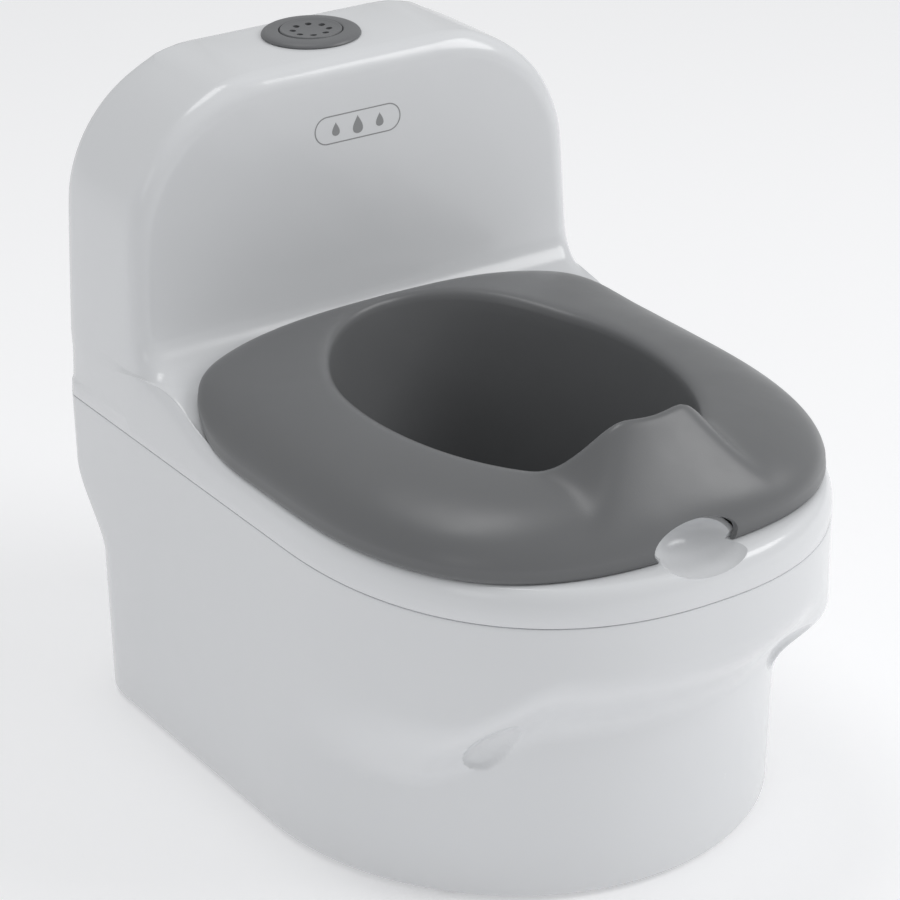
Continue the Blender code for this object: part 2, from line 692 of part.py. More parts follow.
def build_shell_screws(mats):
    for number, (x, y) in enumerate(SCREW_PLACES, 1):
        head = POST_SHELF - GAP
        slot = 0.0011
        profile = [(0.0, head - SCREW_HEAD_HEIGHT + slot), (0.0013, head - SCREW_HEAD_HEIGHT + slot),
                   (0.0013, head - SCREW_HEAD_HEIGHT), (SCREW_HEAD - 0.0009, head - SCREW_HEAD_HEIGHT),
                   (SCREW_HEAD, head - SCREW_HEAD_HEIGHT + 0.0010), (SCREW_HEAD, head),
                   (SCREW_SHANK, head), (SCREW_SHANK, head + SCREW_LENGTH - 0.002),
                   (0.0004, head + SCREW_LENGTH), (0.0, head + SCREW_LENGTH)]
        finish(turned("shell_screw_%d" % number, profile, (x, y), mats["steel"], SMALL_ROUND))


# ==== seat and bowl insert =================================================================
def seat_count():
    return 48


def egg_point(j, half_width, front, rear, rear_power=2.0, front_power=2.0):
    a = 2.0 * math.pi * j / seat_count()
    c, s = math.cos(a), math.sin(a)
    power = rear_power if s > 0 else front_power
    x = half_width * math.copysign(abs(c) ** (2.0 / power), c)
    y = math.copysign(abs(s) ** (2.0 / power), s)
    return x, SEAT_MIDDLE + y * ((rear - SEAT_MIDDLE) if s > 0 else (SEAT_MIDDLE - front))


def rim_point(j, grow=0.0, share=1.0):
    return egg_point(j, (OPENING_HALF_WIDTH + grow) * share,
                     SEAT_MIDDLE + (OPENING_FRONT - grow - SEAT_MIDDLE) * share,
                     SEAT_MIDDLE + (OPENING_REAR + grow - SEAT_MIDDLE) * share, 2.1, 2.0)


def flange_point(j):
    return egg_point(j, SEAT_HALF_WIDTH, SEAT_FRONT, SEAT_REAR, SEAT_REAR_POWER, SEAT_FRONT_POWER)


def guard_share(x, y, spread=0.0):
    """How much of the splash guard applies at a point; spread widens it towards the flange."""
    if y > SEAT_MIDDLE:
        return 0.0
    return 1.0 - smooth_step(GUARD_CORNER, 1.0, abs(x) / (GUARD_HALF_WIDTH + spread))


def crest(x, y):
    height = CREST_HEIGHT + CREST_REAR_RISE * smooth_step(0.02, 0.09, y)
    return height + GUARD_RISE * guard_share(x, y)


def seat_column(j):
    """Points of the upper skin from the flange edge over the ring and down the bowl."""
    xo, yo = flange_point(j)
    xi, yi = rim_point(j)
    span = math.hypot(xo - xi, yo - yi)
    start = TANK_FRONT - TANK_FOOT - RAMP_LENGTH
    bottom = deck_surface(yo) + GAP + RAMP_STAND_OFF * smooth_step(start - 0.020, start + 0.010, yo)
    lip = bottom + SEAT_LIP
    top = crest(xi, yi)
    plain_top = top - GUARD_RISE * guard_share(xi, yi)
    points = [(xo, yo, bottom), (xo, yo, lip)]
    roll = 0.0035 / span
    for angle in (78, 64, 50, 36, 22, 10, 2):
        a = math.radians(angle)
        s = roll + (1.0 - roll) * math.sin(a)
        dome = lip + (plain_top - lip) * math.cos(a)
        edge = SEAT_EDGE_RISE * min(1.0, math.cos(a) / math.cos(math.radians(50)))
        slope = lip + edge + (top - lip - SEAT_EDGE_RISE) * 0.97 * (1.0 - math.sin(a)) ** GUARD_SWEEP
        px, py = mix(xi, xo, s), mix(yi, yo, s)
        points.append((px, py, mix(dome, slope, guard_share(px, py, GUARD_SPREAD * s))))
    points.append((mix(xi, xo, 0.3 * roll), mix(yi, yo, 0.3 * roll), top - 0.0009))
    points.append((xi, yi, top - 0.0040))
    low = BOWL_FLOOR + BOWL_CORNER
    for t in (0.30, 0.65, 1.0):
        px, py = rim_point(j, 0.0, mix(1.0, BOWL_TAPER, t))
        points.append((px, py, mix(top - 0.0040, low, t)))
    for angle in (30, 60, 90):
        a = math.radians(angle)
        px, py = rim_point(j, -BOWL_CORNER * (1.0 - math.cos(a)), BOWL_TAPER)
        points.append((px, py, low - BOWL_CORNER * math.sin(a)))
    px, py = rim_point(j, -BOWL_CORNER, BOWL_TAPER * 0.5)
    points.append((px, py, BOWL_FLOOR))
    return points


def skin_normals(grid):
    """Outward normals of the upper skin; grid is column by row by xyz."""
    along = np.roll(grid, -1, axis=0) - np.roll(grid, 1, axis=0)
    down = np.empty_like(grid)
    down[:, 1:-1] = grid[:, 2:] - grid[:, :-2]
    down[:, 0] = grid[:, 1] - grid[:, 0]
    down[:, -1] = grid[:, -1] - grid[:, -2]
    normal = np.cross(down, along)
    normal /= np.linalg.norm(normal, axis=2, keepdims=True)
    return normal


def close_rim(j, column):
    """Meet the underside of the ring and the outside of the bowl in one line under the rim."""
    start = np.array(rim_point(j))
    along = np.array(flange_point(j)) - start
    along /= np.linalg.norm(along)
    s = (column[:, :2] - start) @ along
    z = column[:, 2]
    slope_ring = (z[RIM_ROW] - z[RIM_ROW - 1]) / (s[RIM_ROW] - s[RIM_ROW - 1])
    slope_bowl = (s[RIM_ROW + 3] - s[RIM_ROW + 4]) / (z[RIM_ROW + 3] - z[RIM_ROW + 4])
    meet = s[RIM_ROW]
    for _ in range(12):
        height = z[RIM_ROW] + slope_ring * (meet - s[RIM_ROW])
        meet = s[RIM_ROW + 3] + slope_bowl * (height - z[RIM_ROW + 3])
    first = RIM_ROW if s[RIM_ROW] < meet + 0.0004 else RIM_ROW + 1
    column[first:RIM_ROW + 3, :2] = start + along * meet
    column[first:RIM_ROW + 3, 2] = height


def seat_skins():
    """Upper skin and underside of the insert, column by row by xyz."""
    grid = np.array([seat_column(j) for j in range(seat_count())])
    normal = skin_normals(grid)
    if normal[0, 2, 2] < 0.0:
        normal = -normal
    under = grid - SEAT_WALL * normal
    under[:, 0, 2] = grid[:, 0, 2]
    under[:, -1, 2] = BOWL_FLOOR - SEAT_WALL
    for j in range(seat_count()):
        close_rim(j, under[j])
    return grid, under


def scoop_wall():
    """Wall of the finger scoop that stands on the deck under the ring of the insert."""
    middle, reach = 3 * seat_count() // 4, seat_count() // 10
    rows = seat_skins()[0][middle - reach:middle + reach + 1, 1:RIM_ROW].copy()
    outward = rows[:, 0, :2] - np.array([0.0, SEAT_MIDDLE])
    outward /= np.linalg.norm(outward, axis=1, keepdims=True)
    rows[:, :2, :2] -= (SEAT_WALL + 2.0 * GAP) * outward[:, None]
    rows[:, :, 2] = np.maximum(rows[:, :, 2] - 2.2 * SEAT_WALL - GAP, DECK_HEIGHT)
    low = rows.copy()
    low[:, :, 2] = DECK_HEIGHT - 0.5 * WALL
    rings = [list(top) + [under[-1], under[0]] for top, under in zip(rows, low)]
    solid = loft("scoop_wall", rings)
    return combine(solid, finger_scoop("scoop_back", WALL), "INTERSECT")


def build_insert(mats):
    grid, under = seat_skins()
    rings = [grid[:, r] for r in range(grid.shape[1])]
    count, rows = grid.shape[:2]
    vertices = [tuple(p) for ring in rings for p in ring]
    vertices += [tuple(p) for r in range(rows) for p in under[:, r]]
    faces = []
    for r in range(rows - 1):
        for i in range(count):
            j = (i + 1) % count
            a, b = r * count, (r + 1) * count
            faces.append((a + i, a + j, b + j, b + i))
            a, b = (rows + r) * count, (rows + r + 1) * count
            faces.append((a + i, b + i, b + j, a + j))
    for i in range(count):
        j = (i + 1) % count
        faces.append((i, rows * count + i, rows * count + j, j))
    faces.append(tuple((rows - 1) * count + i for i in range(count)))
    faces.append(tuple((2 * rows - 1) * count + i for i in range(count - 1, -1, -1)))
    seat = make_object("potty_insert", vertices, faces, None)
    cut(seat, finger_scoop("scoop_seat", GAP))
    seat.data.materials.clear()
    seat.data.materials.append(mats["grey_seat"])
    return finish(seat)


# ==== sound module =========================================================================
def module_axis():
    return 0.0, MODULE_Y


def build_bezel(mats):
    top = TOTAL_HEIGHT + GAP
    inner = BUTTON_RADIUS + 0.0004
    skirt_in = MODULE_RADIUS - HOUSING_WALL
    low = BOARD_Z + BOARD_THICKNESS + GAP
    ledge = top - 0.0026
    profile = [(inner, top + BEZEL_HEIGHT - 0.0004), (inner + 0.0004, top + BEZEL_HEIGHT),
               (BEZEL_RADIUS - 0.0022, top + BEZEL_HEIGHT - 0.0003),
               (BEZEL_RADIUS - 0.0006, top + BEZEL_HEIGHT - 0.0012), (BEZEL_RADIUS, top + 0.0004),
               (BEZEL_RADIUS, top), (MODULE_RADIUS, top), (MODULE_RADIUS, low), (skirt_in, low),
               (skirt_in, ledge), (inner, ledge)]
    return finish(turned("module_bezel", profile, module_axis(), mats["grey_module"], ROUND))


def build_cup(mats):
    low = CUP_BOTTOM
    ledge = BOARD_Z - GAP
    top = BOARD_Z + BOARD_THICKNESS
    wide = MODULE_RADIUS - HOUSING_WALL
    narrow = BOARD_RADIUS - 0.0012
    door = DOOR_RADIUS + GAP
    floor = low + DOOR_THICKNESS + GAP
    profile = [(door, low), (MODULE_RADIUS - 0.0006, low), (MODULE_RADIUS, low + 0.0006),
               (MODULE_RADIUS, top), (wide, top), (wide, ledge), (narrow, ledge),
               (narrow, floor + 0.0012), (door - 0.0014, floor + 0.0012), (door - 0.0014, floor), (door, floor)]
    return finish(turned("module_cup", profile, module_axis(), mats["dark_plastic"], ROUND))


def build_button(mats):
    rim = TOTAL_HEIGHT + GAP + BEZEL_HEIGHT + BUTTON_PROUD
    ledge = TOTAL_HEIGHT + GAP - 0.0026 - GAP
    skin = BUTTON_SKIN
    profile = [(0.0, rim - BUTTON_DISH)]
    for share in (0.35, 0.6, 0.8, 0.92):
        profile.append((BUTTON_RADIUS * share, rim - BUTTON_DISH * (1.0 - share ** 2) ** 0.8))
    profile += [(BUTTON_RADIUS - 0.0003, rim - 0.0002), (BUTTON_RADIUS, rim - 0.0008),
                (BUTTON_RADIUS, ledge), (BUTTON_FLANGE, ledge), (BUTTON_FLANGE, ledge - 0.0014),
                (BUTTON_RADIUS - skin, ledge - 0.0014), (BUTTON_RADIUS - skin, rim - skin),
                (0.0, rim - BUTTON_DISH - skin)]
    origin = (0.0, MODULE_Y, rim)
    button = turned("flush_button", profile, module_axis(), None, ROUND, origin=origin)
    for k in range(BUTTON_HOLES):
        a = 2.0 * math.pi * (k + 0.5) / BUTTON_HOLES
        place = (BUTTON_HOLE_RING * math.cos(a), MODULE_Y + BUTTON_HOLE_RING * math.sin(a))
        cut(button, turned("sound_hole", [(0.0, rim - 0.01), (BUTTON_HOLE_RADIUS, rim - 0.01),
                                          (BUTTON_HOLE_RADIUS, rim + 0.01), (0.0, rim + 0.01)],
                           place, steps=10))
    stem_top, stem_low = rim - skin, switch_top() + GAP
    join(button, turned("stem", [(0.0, stem_low), (0.0014, stem_low), (0.0014, stem_top), (0.0, stem_top)],
                        (0.0, MODULE_Y - SWITCH_PLACE), steps=12))
    button.data.materials.clear()
    button.data.materials.append(mats["grey_module"])
    return finish(button)


def switch_body_top():
    return BOARD_Z + BOARD_THICKNESS + GAP + SWITCH_HEIGHT


def switch_top():
    return switch_body_top() + 0.0034


def build_switch(mats):
    y = MODULE_Y - SWITCH_PLACE
    low = BOARD_Z + BOARD_THICKNESS + GAP
    half = 0.0030
    body = box("switch_body", (-half, y - half, low), (half, y + half, switch_body_top()), None)
    cut(body, turned("plunger_bore", [(0.0, low + 0.0006), (0.0014, low + 0.0006), (0.0014, low + 0.01),
                                      (0.0, low + 0.01)], (0.0, y), steps=SMALL_ROUND))
    body.data.materials.clear()
    body.data.materials.append(mats["dark_plastic"])
    finish(body)
    foot = low + 0.0006 + BUTTON_TRAVEL + GAP
    finish(turned("switch_plunger", [(0.0, foot), (0.0011, foot), (0.0011, switch_top()),
                                     (0.0, switch_top())], (0.0, y), mats["rubber"], SMALL_ROUND,
                  origin=(0.0, y, switch_top())))


def build_spring(mats):
    """Coil between the board and the underside of the button, round the speaker."""
    low = BOARD_Z + BOARD_THICKNESS + GAP
    high = TOTAL_HEIGHT + 0.0005
    coil, wire, turns, steps, sides = 0.0100, 0.00030, 4.0, 11, 5
    rings = []
    total = int(turns * steps)
    bottom, top = low + wire, high - wire - GAP
    for k in range(total + 1):
        t = k / total
        a = 2.0 * math.pi * turns * t
        height = mix(bottom, top, min(1.0, max(0.0, (t * (turns) - 0.25) / (turns - 0.5))))
        out = np.array([math.cos(a), math.sin(a), 0.0])
        place = np.array([0.0, MODULE_Y, height]) + coil * out
        rings.append([tuple(place + wire * (math.cos(b) * out + math.sin(b) * np.array([0.0, 0.0, 1.0])))
                      for b in (2.0 * math.pi * s / sides for s in range(sides))])
    return finish(loft("button_spring", rings, mats["steel"], origin=(0.0, MODULE_Y, low)), 60.0)


def build_board(mats):
    low, high = BOARD_Z, BOARD_Z + BOARD_THICKNESS
    board = turned("sound_board", [(0.0, low), (BOARD_RADIUS, low), (BOARD_RADIUS, high), (0.0, high)],
                   module_axis(), mats["board_green"], ROUND)
    finish(board)
    chip = 0.0032
    y = MODULE_Y + 0.0128
    finish(box("sound_chip", (-chip, y - 0.0022, high + GAP), (chip, y + 0.0022, high + GAP + 0.0014),
               mats["dark_plastic"]))


def build_speaker(mats):
    low = BOARD_Z + BOARD_THICKNESS + GAP
    r = SPEAKER_RADIUS
    magnet = 0.0042
    frame = [(magnet + GAP, low + 0.0024), (magnet + GAP, low + 0.0016), (r - 0.0014, low + 0.0016), (r, low + 0.0034),
             (r, low + 0.0050), (r - 0.0008, low + 0.0050), (r - 0.0008, low + 0.0038), (r - 0.0020, low + 0.0024)]
    finish(turned("speaker_frame", frame, module_axis(), mats["steel"], 24))
    finish(turned("speaker_magnet", [(0.0, low), (magnet, low), (magnet, low + 0.0022), (0.0, low + 0.0022)],
                  module_axis(), mats["dark_plastic"], 24))
    edge = r - 0.0008 - GAP
    skin = 0.0004
    cone = [(0.0, low + 0.0030), (0.0030, low + 0.0034), (edge - 0.0012, low + 0.0046), (edge - 0.0002, low + 0.0046),
            (edge, low + 0.0044), (edge, low + 0.0041), (edge - 0.0012, low + 0.0046 - skin - 0.0001),
            (0.0030, low + 0.0034 - skin), (0.0, low + 0.0030 - skin)]
    finish(turned("speaker_cone", cone, module_axis(), mats["paper_cone"], 24))


def cell_places():
    angles = [math.pi / 2 + 2.0 * math.pi * k / 3 for k in range(3)]
    return [(CELL_RING * math.cos(a), MODULE_Y + CELL_RING * math.sin(a)) for a in angles]


def cell_low():
    return CUP_BOTTOM + DOOR_THICKNESS + 2.0 * GAP + 0.0008


def build_power(mats):
    low = cell_low()
    for number, place in enumerate(cell_places(), 1):
        r, h = CELL_RADIUS, CELL_HEIGHT
        profile = [(0.0, low), (r - 0.0009, low), (r - 0.0009, low + 0.0004), (r - 0.0002, low + 0.0006),
                   (r, low + 0.0010), (r, low + h - 0.0002), (r - 0.0002, low + h), (0.0, low + h)]
        finish(turned("button_cell_%d" % number, profile, place, mats["steel"], SMALL_ROUND))
    top = low + CELL_HEIGHT + GAP
    plate = BOARD_RADIUS - 0.0012 - GAP
    finish(turned("contact_plate_upper", [(0.0, top), (plate, top), (plate, top + 0.0005), (0.0, top + 0.0005)],
                  module_axis(), mats["brass"], ROUND))
    bed = CUP_BOTTOM + DOOR_THICKNESS + GAP
    finish(turned("contact_plate_lower", [(0.0026, bed), (0.0131, bed), (0.0131, bed + 0.0005), (0.0026, bed + 0.0005)],
                  module_axis(), mats["brass"], ROUND))
    chamber = top + 0.0005 + GAP
    insulator = BOARD_Z - GAP
    finish(turned("cell_spacer", [(plate - 0.0024, chamber), (plate, chamber), (plate, insulator - GAP),
                                  (plate - 0.0024, insulator - GAP)], module_axis(), mats["dark_plastic"], 24))
    for name, x in (("battery_lead_red", 0.005), ("battery_lead_black", -0.005)):
        colour = "red_wire" if x > 0 else "black_wire"
        rings, wire, steps = [], 0.0005, 10
        for k in range(steps + 1):
            t = k / steps
            z = mix(chamber, insulator, t)
            bow = 0.0030 * math.sin(math.pi * t)
            centre = (x, MODULE_Y - 0.004 + bow, z)
            rings.append([(centre[0] + wire * math.cos(b), centre[1] + wire * math.sin(b), z)
                          for b in (2.0 * math.pi * s / 8 for s in range(8))])
        finish(loft(name, rings, mats[colour]), 60.0)


def build_door(mats):
    low, high = CUP_BOTTOM, CUP_BOTTOM + DOOR_THICKNESS
    door = turned("battery_door", [(0.0, low), (DOOR_RADIUS - 0.0004, low), (DOOR_RADIUS, low + 0.0004),
                                   (DOOR_RADIUS, high), (0.0, high)], module_axis(), None, ROUND,
                  origin=(0.0, MODULE_Y, low))
    cut(door, turned("door_hole", [(0.0, low - 0.01), (0.0014, low - 0.01), (0.0014, low + 0.01),
                                   (0.0, low + 0.01)], module_axis(), steps=SMALL_ROUND))
    door.data.materials.clear()
    door.data.materials.append(mats["dark_plastic"])
    finish(door)
    head = low - GAP
    finish(turned("door_screw", [(0.0, head - 0.0008), (0.0008, head - 0.0008), (0.0008, head - 0.0014),
                                 (0.0018, head - 0.0014), (0.0023, head - 0.0008), (0.0023, head),
                                 (0.0011, head), (0.0011, high + 0.0008), (0.0, high + 0.0008)],
                  module_axis(), mats["steel"], SMALL_ROUND))


def build():
    clear_scene()
    mats = make_materials()
    build_base(mats)
    build_upper(mats)
    build_insert(mats)
    build_feet(mats)
    build_shell_screws(mats)
    build_bezel(mats)
    build_cup(mats)
    build_button(mats)
    build_switch(mats)
    build_spring(mats)
    build_board(mats)
    build_speaker(mats)
    build_power(mats)
    build_door(mats)


build()
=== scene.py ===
"""Looks of the potty training chair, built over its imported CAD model.

Metres.  +Z is up and the front of the chair faces -Y.  Every piece is shaped in place, at rest,
and rides on the CAD body that moves it.
"""

import math

import bmesh
import bpy
import numpy as np
from mathutils import Matrix, Vector


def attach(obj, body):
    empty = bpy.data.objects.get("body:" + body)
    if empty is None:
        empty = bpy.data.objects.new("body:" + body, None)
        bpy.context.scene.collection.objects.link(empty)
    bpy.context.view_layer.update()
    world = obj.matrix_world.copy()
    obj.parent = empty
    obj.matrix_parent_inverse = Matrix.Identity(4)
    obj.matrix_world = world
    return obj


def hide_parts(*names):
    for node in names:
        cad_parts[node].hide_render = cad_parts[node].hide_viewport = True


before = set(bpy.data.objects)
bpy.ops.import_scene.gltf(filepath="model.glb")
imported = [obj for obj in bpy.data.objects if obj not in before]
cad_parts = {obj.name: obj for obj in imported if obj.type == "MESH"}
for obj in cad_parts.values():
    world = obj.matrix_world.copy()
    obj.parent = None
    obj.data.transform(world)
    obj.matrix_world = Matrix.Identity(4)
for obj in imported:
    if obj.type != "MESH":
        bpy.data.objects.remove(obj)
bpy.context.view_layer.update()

# ---- fits -------------------------------------------------------------------------------
GAP = 0.0003                 # clearance between pieces that touch
WALL = 0.0026                # moulded wall of both shells

# ---- overall size -----------------------------------------------------------------------
BODY_HALF_WIDTH = 0.130      # at the seam
BODY_REAR = 0.1845
BODY_FRONT = -0.1845         # foremost point of the bulge under the seat
TOTAL_HEIGHT = 0.330         # top of the tank
SEAM_HEIGHT = 0.160          # joint between base shell and upper shell

# ---- body shell -------------------------------------------------------------------------
BASE_HALF_WIDTH = BODY_HALF_WIDTH - 0.0015     # at the floor
PEDESTAL_FRONT = BODY_FRONT + 0.0355           # front of the pedestal at the floor
PEDESTAL_DRAFT = 0.005       # how far the pedestal front leans out by the crease
BASE_BOTTOM = 0.002          # the shell stands this far off the floor on its feet
BASE_EDGE = 0.003            # rounding round the bottom edge
FLOOR_THICKNESS = 0.003
CREASE_HEIGHT = 0.525 * SEAM_HEIGHT            # the bulge meets the pedestal here at the front
CREASE_SIDE_HEIGHT = 0.344 * SEAM_HEIGHT       # and the crease runs out here at the sides
CREASE_TURN = (35.0, 64.0)   # degrees round the front curve between side and front crease
BULGE_RISE = 0.70 * (SEAM_HEIGHT - CREASE_HEIGHT)   # from the crease to the bulge's full size
BODY_FRONT_START = -0.030    # the front curve starts here on the bulge
BASE_FRONT_START = -0.008    # and here on the pedestal
BODY_POWER = 2.3             # roundness of the front curve, 2 is an ellipse
BASE_POWER = 2.0
BODY_CORNER = 0.012          # rear corner of the upper body, in plan
BASE_CORNER = 0.034          # rear corner of the pedestal
BASE_REAR_STEP = 0.007       # the pedestal's back is this far in front of the tank's back
REAR_STEP_HEIGHT = (0.49 * SEAM_HEIGHT, 0.775 * SEAM_HEIGHT)

# ---- seam tongue ------------------------------------------------------------------------
TONGUE_HEIGHT = 0.0034
TONGUE_THICKNESS = 0.0012

# ---- upper shell ------------------------------------------------------------------------
DECK_HEIGHT = SEAM_HEIGHT + 0.018              # top of the deck under the seat
SHOULDER_START = SEAM_HEIGHT + 0.006           # the shoulder rounds over from here to the deck
SHOULDER_INSET = 0.006
RAMP_LENGTH = 0.050          # the deck climbs towards the tank over this length
DECK_RISE = 0.016
TANK_FRONT = BODY_REAR - 0.0765                # front face of the tank
TANK_CORNER = 0.011          # rounding round the front face of the tank
TANK_REAR_ROUND = 0.010
TANK_HALF_WIDTH = BODY_HALF_WIDTH - 0.0045     # where the arch starts
ARCH_RADIUS = 0.075
TANK_FOOT = 0.022            # hollow fillet between deck and tank

# ---- seat and bowl insert ---------------------------------------------------------------
SEAT_WALL = 0.0025
SEAT_HALF_WIDTH = BODY_HALF_WIDTH - 0.003
SEAT_FRONT = BODY_FRONT + 0.0155
SEAT_REAR = TANK_FRONT - 0.0130
SEAT_LIP = 0.003             # upright edge of the flange
SEAT_REAR_POWER = 4.4        # the flange is nearly square at the back
SEAT_FRONT_POWER = 2.75
RAMP_STAND_OFF = 0.0022      # the flange bears on the flat deck only and clears the ramp
SEAT_MIDDLE = -0.020         # widest line of the opening
OPENING_HALF_WIDTH = SEAT_HALF_WIDTH - 0.053
OPENING_FRONT = SEAT_FRONT + 0.036
OPENING_REAR = SEAT_REAR - 0.017
CREST_HEIGHT = DECK_HEIGHT + 0.030             # top of the ring at the sides
CREST_REAR_RISE = 0.007
GUARD_RISE = 0.030           # splash guard above the ring
GUARD_HALF_WIDTH = 0.042
GUARD_CORNER = 0.26          # share of that width which is level
GUARD_SPREAD = 0.028         # its front panel is this much wider at the flange
GUARD_SWEEP = 1.55           # how hollow the front panel is
SEAT_EDGE_RISE = 0.006       # rounding of the flange in front of the guard
BOWL_FLOOR = 0.066
BOWL_TAPER = 0.78            # width of the bowl floor against the opening
BOWL_CORNER = 0.020
DECK_HOLE_CLEARANCE = 0.0015
NOTCH_HALF_WIDTH = 0.024     # finger recess at the front rim
NOTCH_DEPTH = 0.021
NOTCH_HEIGHT = 0.011
NOTCH_RISE = 0.005           # its middle lies this far above the deck
NOTCH_MIDDLE = BODY_FRONT + 0.0085

# ---- egg-shaped dimples of the pedestal ---------------------------------------------------
DIMPLE_X = 0.64 * BODY_HALF_WIDTH
DIMPLE_HEIGHT = CREASE_HEIGHT + 0.004
DIMPLE_HALF_WIDTH = 0.0105
DIMPLE_HALF_HEIGHT = 0.0155
DIMPLE_BLUNTNESS = 0.22      # how much wider the top half is

# ---- shell screws, posts and feet ---------------------------------------------------------
SCREW_REAR = (BODY_HALF_WIDTH - 0.018, 0.062)
SCREW_FRONT = (BODY_HALF_WIDTH - 0.044, BODY_FRONT + 0.0865)
SCREW_PLACES = tuple((side * x, y) for x, y in (SCREW_REAR, SCREW_FRONT) for side in (-1, 1))
POST_RADIUS = 0.0070
POST_TOP = SEAM_HEIGHT - 0.012
POST_SHELF = POST_TOP - 0.007                  # screw head bears here
SCREW_SHANK = 0.0017
SCREW_HEAD = 0.0037
SCREW_HEAD_HEIGHT = 0.0024
SCREW_LENGTH = 0.020
BOSS_RADIUS = 0.0055
FOOT_REAR = (BODY_HALF_WIDTH - 0.032, BODY_REAR - 0.0385)
FOOT_FRONT = (BODY_HALF_WIDTH - 0.072, PEDESTAL_FRONT + 0.041)
FOOT_PLACES = tuple((side * x, y) for x, y in (FOOT_REAR, FOOT_FRONT) for side in (-1, 1))
FOOT_RADIUS = 0.0095
FOOT_STEM = 0.0038
FOOT_BARB = 0.0052
FOOT_RECESS = 0.001          # depth of the seat round each foot

# ---- flushing-sound module ----------------------------------------------------------------
MODULE_Y = 0.5 * (TANK_FRONT + BODY_REAR) + 0.00375
BEZEL_RADIUS = 0.0247
BEZEL_HEIGHT = 0.0024
MODULE_RADIUS = 0.0205       # barrel of the module
HOUSING_WALL = 0.0018
BUTTON_RADIUS = 0.0155
BUTTON_DISH = 0.0012         # the button's face is hollowed by this much
BUTTON_PROUD = 0.0004        # its rim stands this far above the bezel
BUTTON_SKIN = 0.0016
BUTTON_HOLES = 8
BUTTON_HOLE_RADIUS = 0.0017
BUTTON_HOLE_RING = 0.0090
BUTTON_FLANGE = 0.0174
BOARD_Z = TOTAL_HEIGHT - 0.0225                # underside of the circuit board
BOARD_THICKNESS = 0.0012
BOARD_RADIUS = MODULE_RADIUS - 0.0029
SWITCH_HEIGHT = 0.0048
SWITCH_PLACE = 0.0138        # off the module's axis, towards the front
CUP_BOTTOM = BOARD_Z - 0.0195
DOOR_RADIUS = MODULE_RADIUS - 0.0055
DOOR_THICKNESS = 0.0016

# ---- fineness of the shown pieces ---------------------------------------------------------
CORNER_STEPS = 10
FLANK_STEPS = 1
SIDE_STEPS = 22
FRONT_STEPS = 130
ROUND = 96
EDGE_ROUND = 0.0005          # rounding of the two shell edges at the seam
RELAX_ROUNDS = 14            # how softly the folds of the upper shell run out
DENT_DEPTH = 0.0062          # of the egg dimples
RIM_ROUND = 0.0030           # rounding of the seat's inner rim
PANEL_SWEEP = 2.1            # how quickly the guard's front panel falls to the ring
PANEL_RISE = 0.008           # how far the panel stands above the ring half way out
PANEL_SPREAD = 0.034         # the panel is this much wider at the flange
RIM_ROW = 8                  # last row of the coarse ring section before its rim

THREAD_PITCH = 0.0013        # of the shell screws
THREAD_ROOT = 0.80           # share of the shank's radius left between the threads
FOOT_GROOVES = 4             # grip rings under each foot
CUP_RIBS = 24                # grip ribs round the module's cup
CUP_RIB_RADIUS = 0.0006
DOOR_GRIPS = 12              # hollows round the battery door
DOOR_GRIP_RING = 0.0105
DOOR_GRIP_RADIUS = 0.0011
DOOR_SCREW_HOLE = 0.0014

# ---- printed mark -------------------------------------------------------------------------
MARK_HEIGHT = 0.2955
MARK_HALF_WIDTH = 0.0245
MARK_HALF_HEIGHT = 0.0072
MARK_LINE = 0.0006
MARK_FILM = 0.00008
MARK_DROPS = ((-0.0125, 0.0030), (0.0, 0.0040), (0.0125, 0.0030))    # each drop's middle and size

# ---- camera and lights --------------------------------------------------------------------
CAMERA_TARGET = (0.0, 0.017, 0.1495)
CAMERA_TURN = (-33.0, 25.4, -0.8)          # azimuth, elevation and roll in degrees
CAMERA_DISTANCE = 1.62
CAMERA_LENS = 134.0
CAMERA_SHIFT = (-0.0163, 0.0129)
WORLD_LIGHT = 0.52
KEY_LIGHT = 17.0
TOP_LIGHT = 8.0
LEFT_LIGHT = 1.0
FLOOR_GLOW = 0.22


# ==== materials ============================================================================
def noise(tree, place, scale, detail=4.0, rough=0.55):
    made = tree.nodes.new("ShaderNodeTexNoise")
    made.inputs["Scale"].default_value = scale
    made.inputs["Detail"].default_value = detail
    made.inputs["Roughness"].default_value = rough
    tree.links.new(place, made.inputs["Vector"])
    return made.outputs["Fac"]


def ramp_between(tree, value, low, high, out_low, out_high):
    made = tree.nodes.new("ShaderNodeMapRange")
    for name, number in (("From Min", low), ("From Max", high), ("To Min", out_low), ("To Max", out_high)):
        made.inputs[name].default_value = number
    tree.links.new(value, made.inputs["Value"])
    return made.outputs["Result"]


def colour_mix(tree, share, first, second):
    made = tree.nodes.new("ShaderNodeMix")
    made.data_type = "RGBA"
    made.inputs["A"].default_value = (*first, 1.0)
    made.inputs["B"].default_value = (*second, 1.0)
    tree.links.new(share, made.inputs["Factor"])
    return made.outputs["Result"]


def plus(tree, a, b, operation="ADD"):
    made = tree.nodes.new("ShaderNodeMath")
    made.operation = operation
    tree.links.new(a, made.inputs[0])
    if isinstance(b, float):
        made.inputs[1].default_value = b
    else:
        tree.links.new(b, made.inputs[1])
    return made.outputs[0]


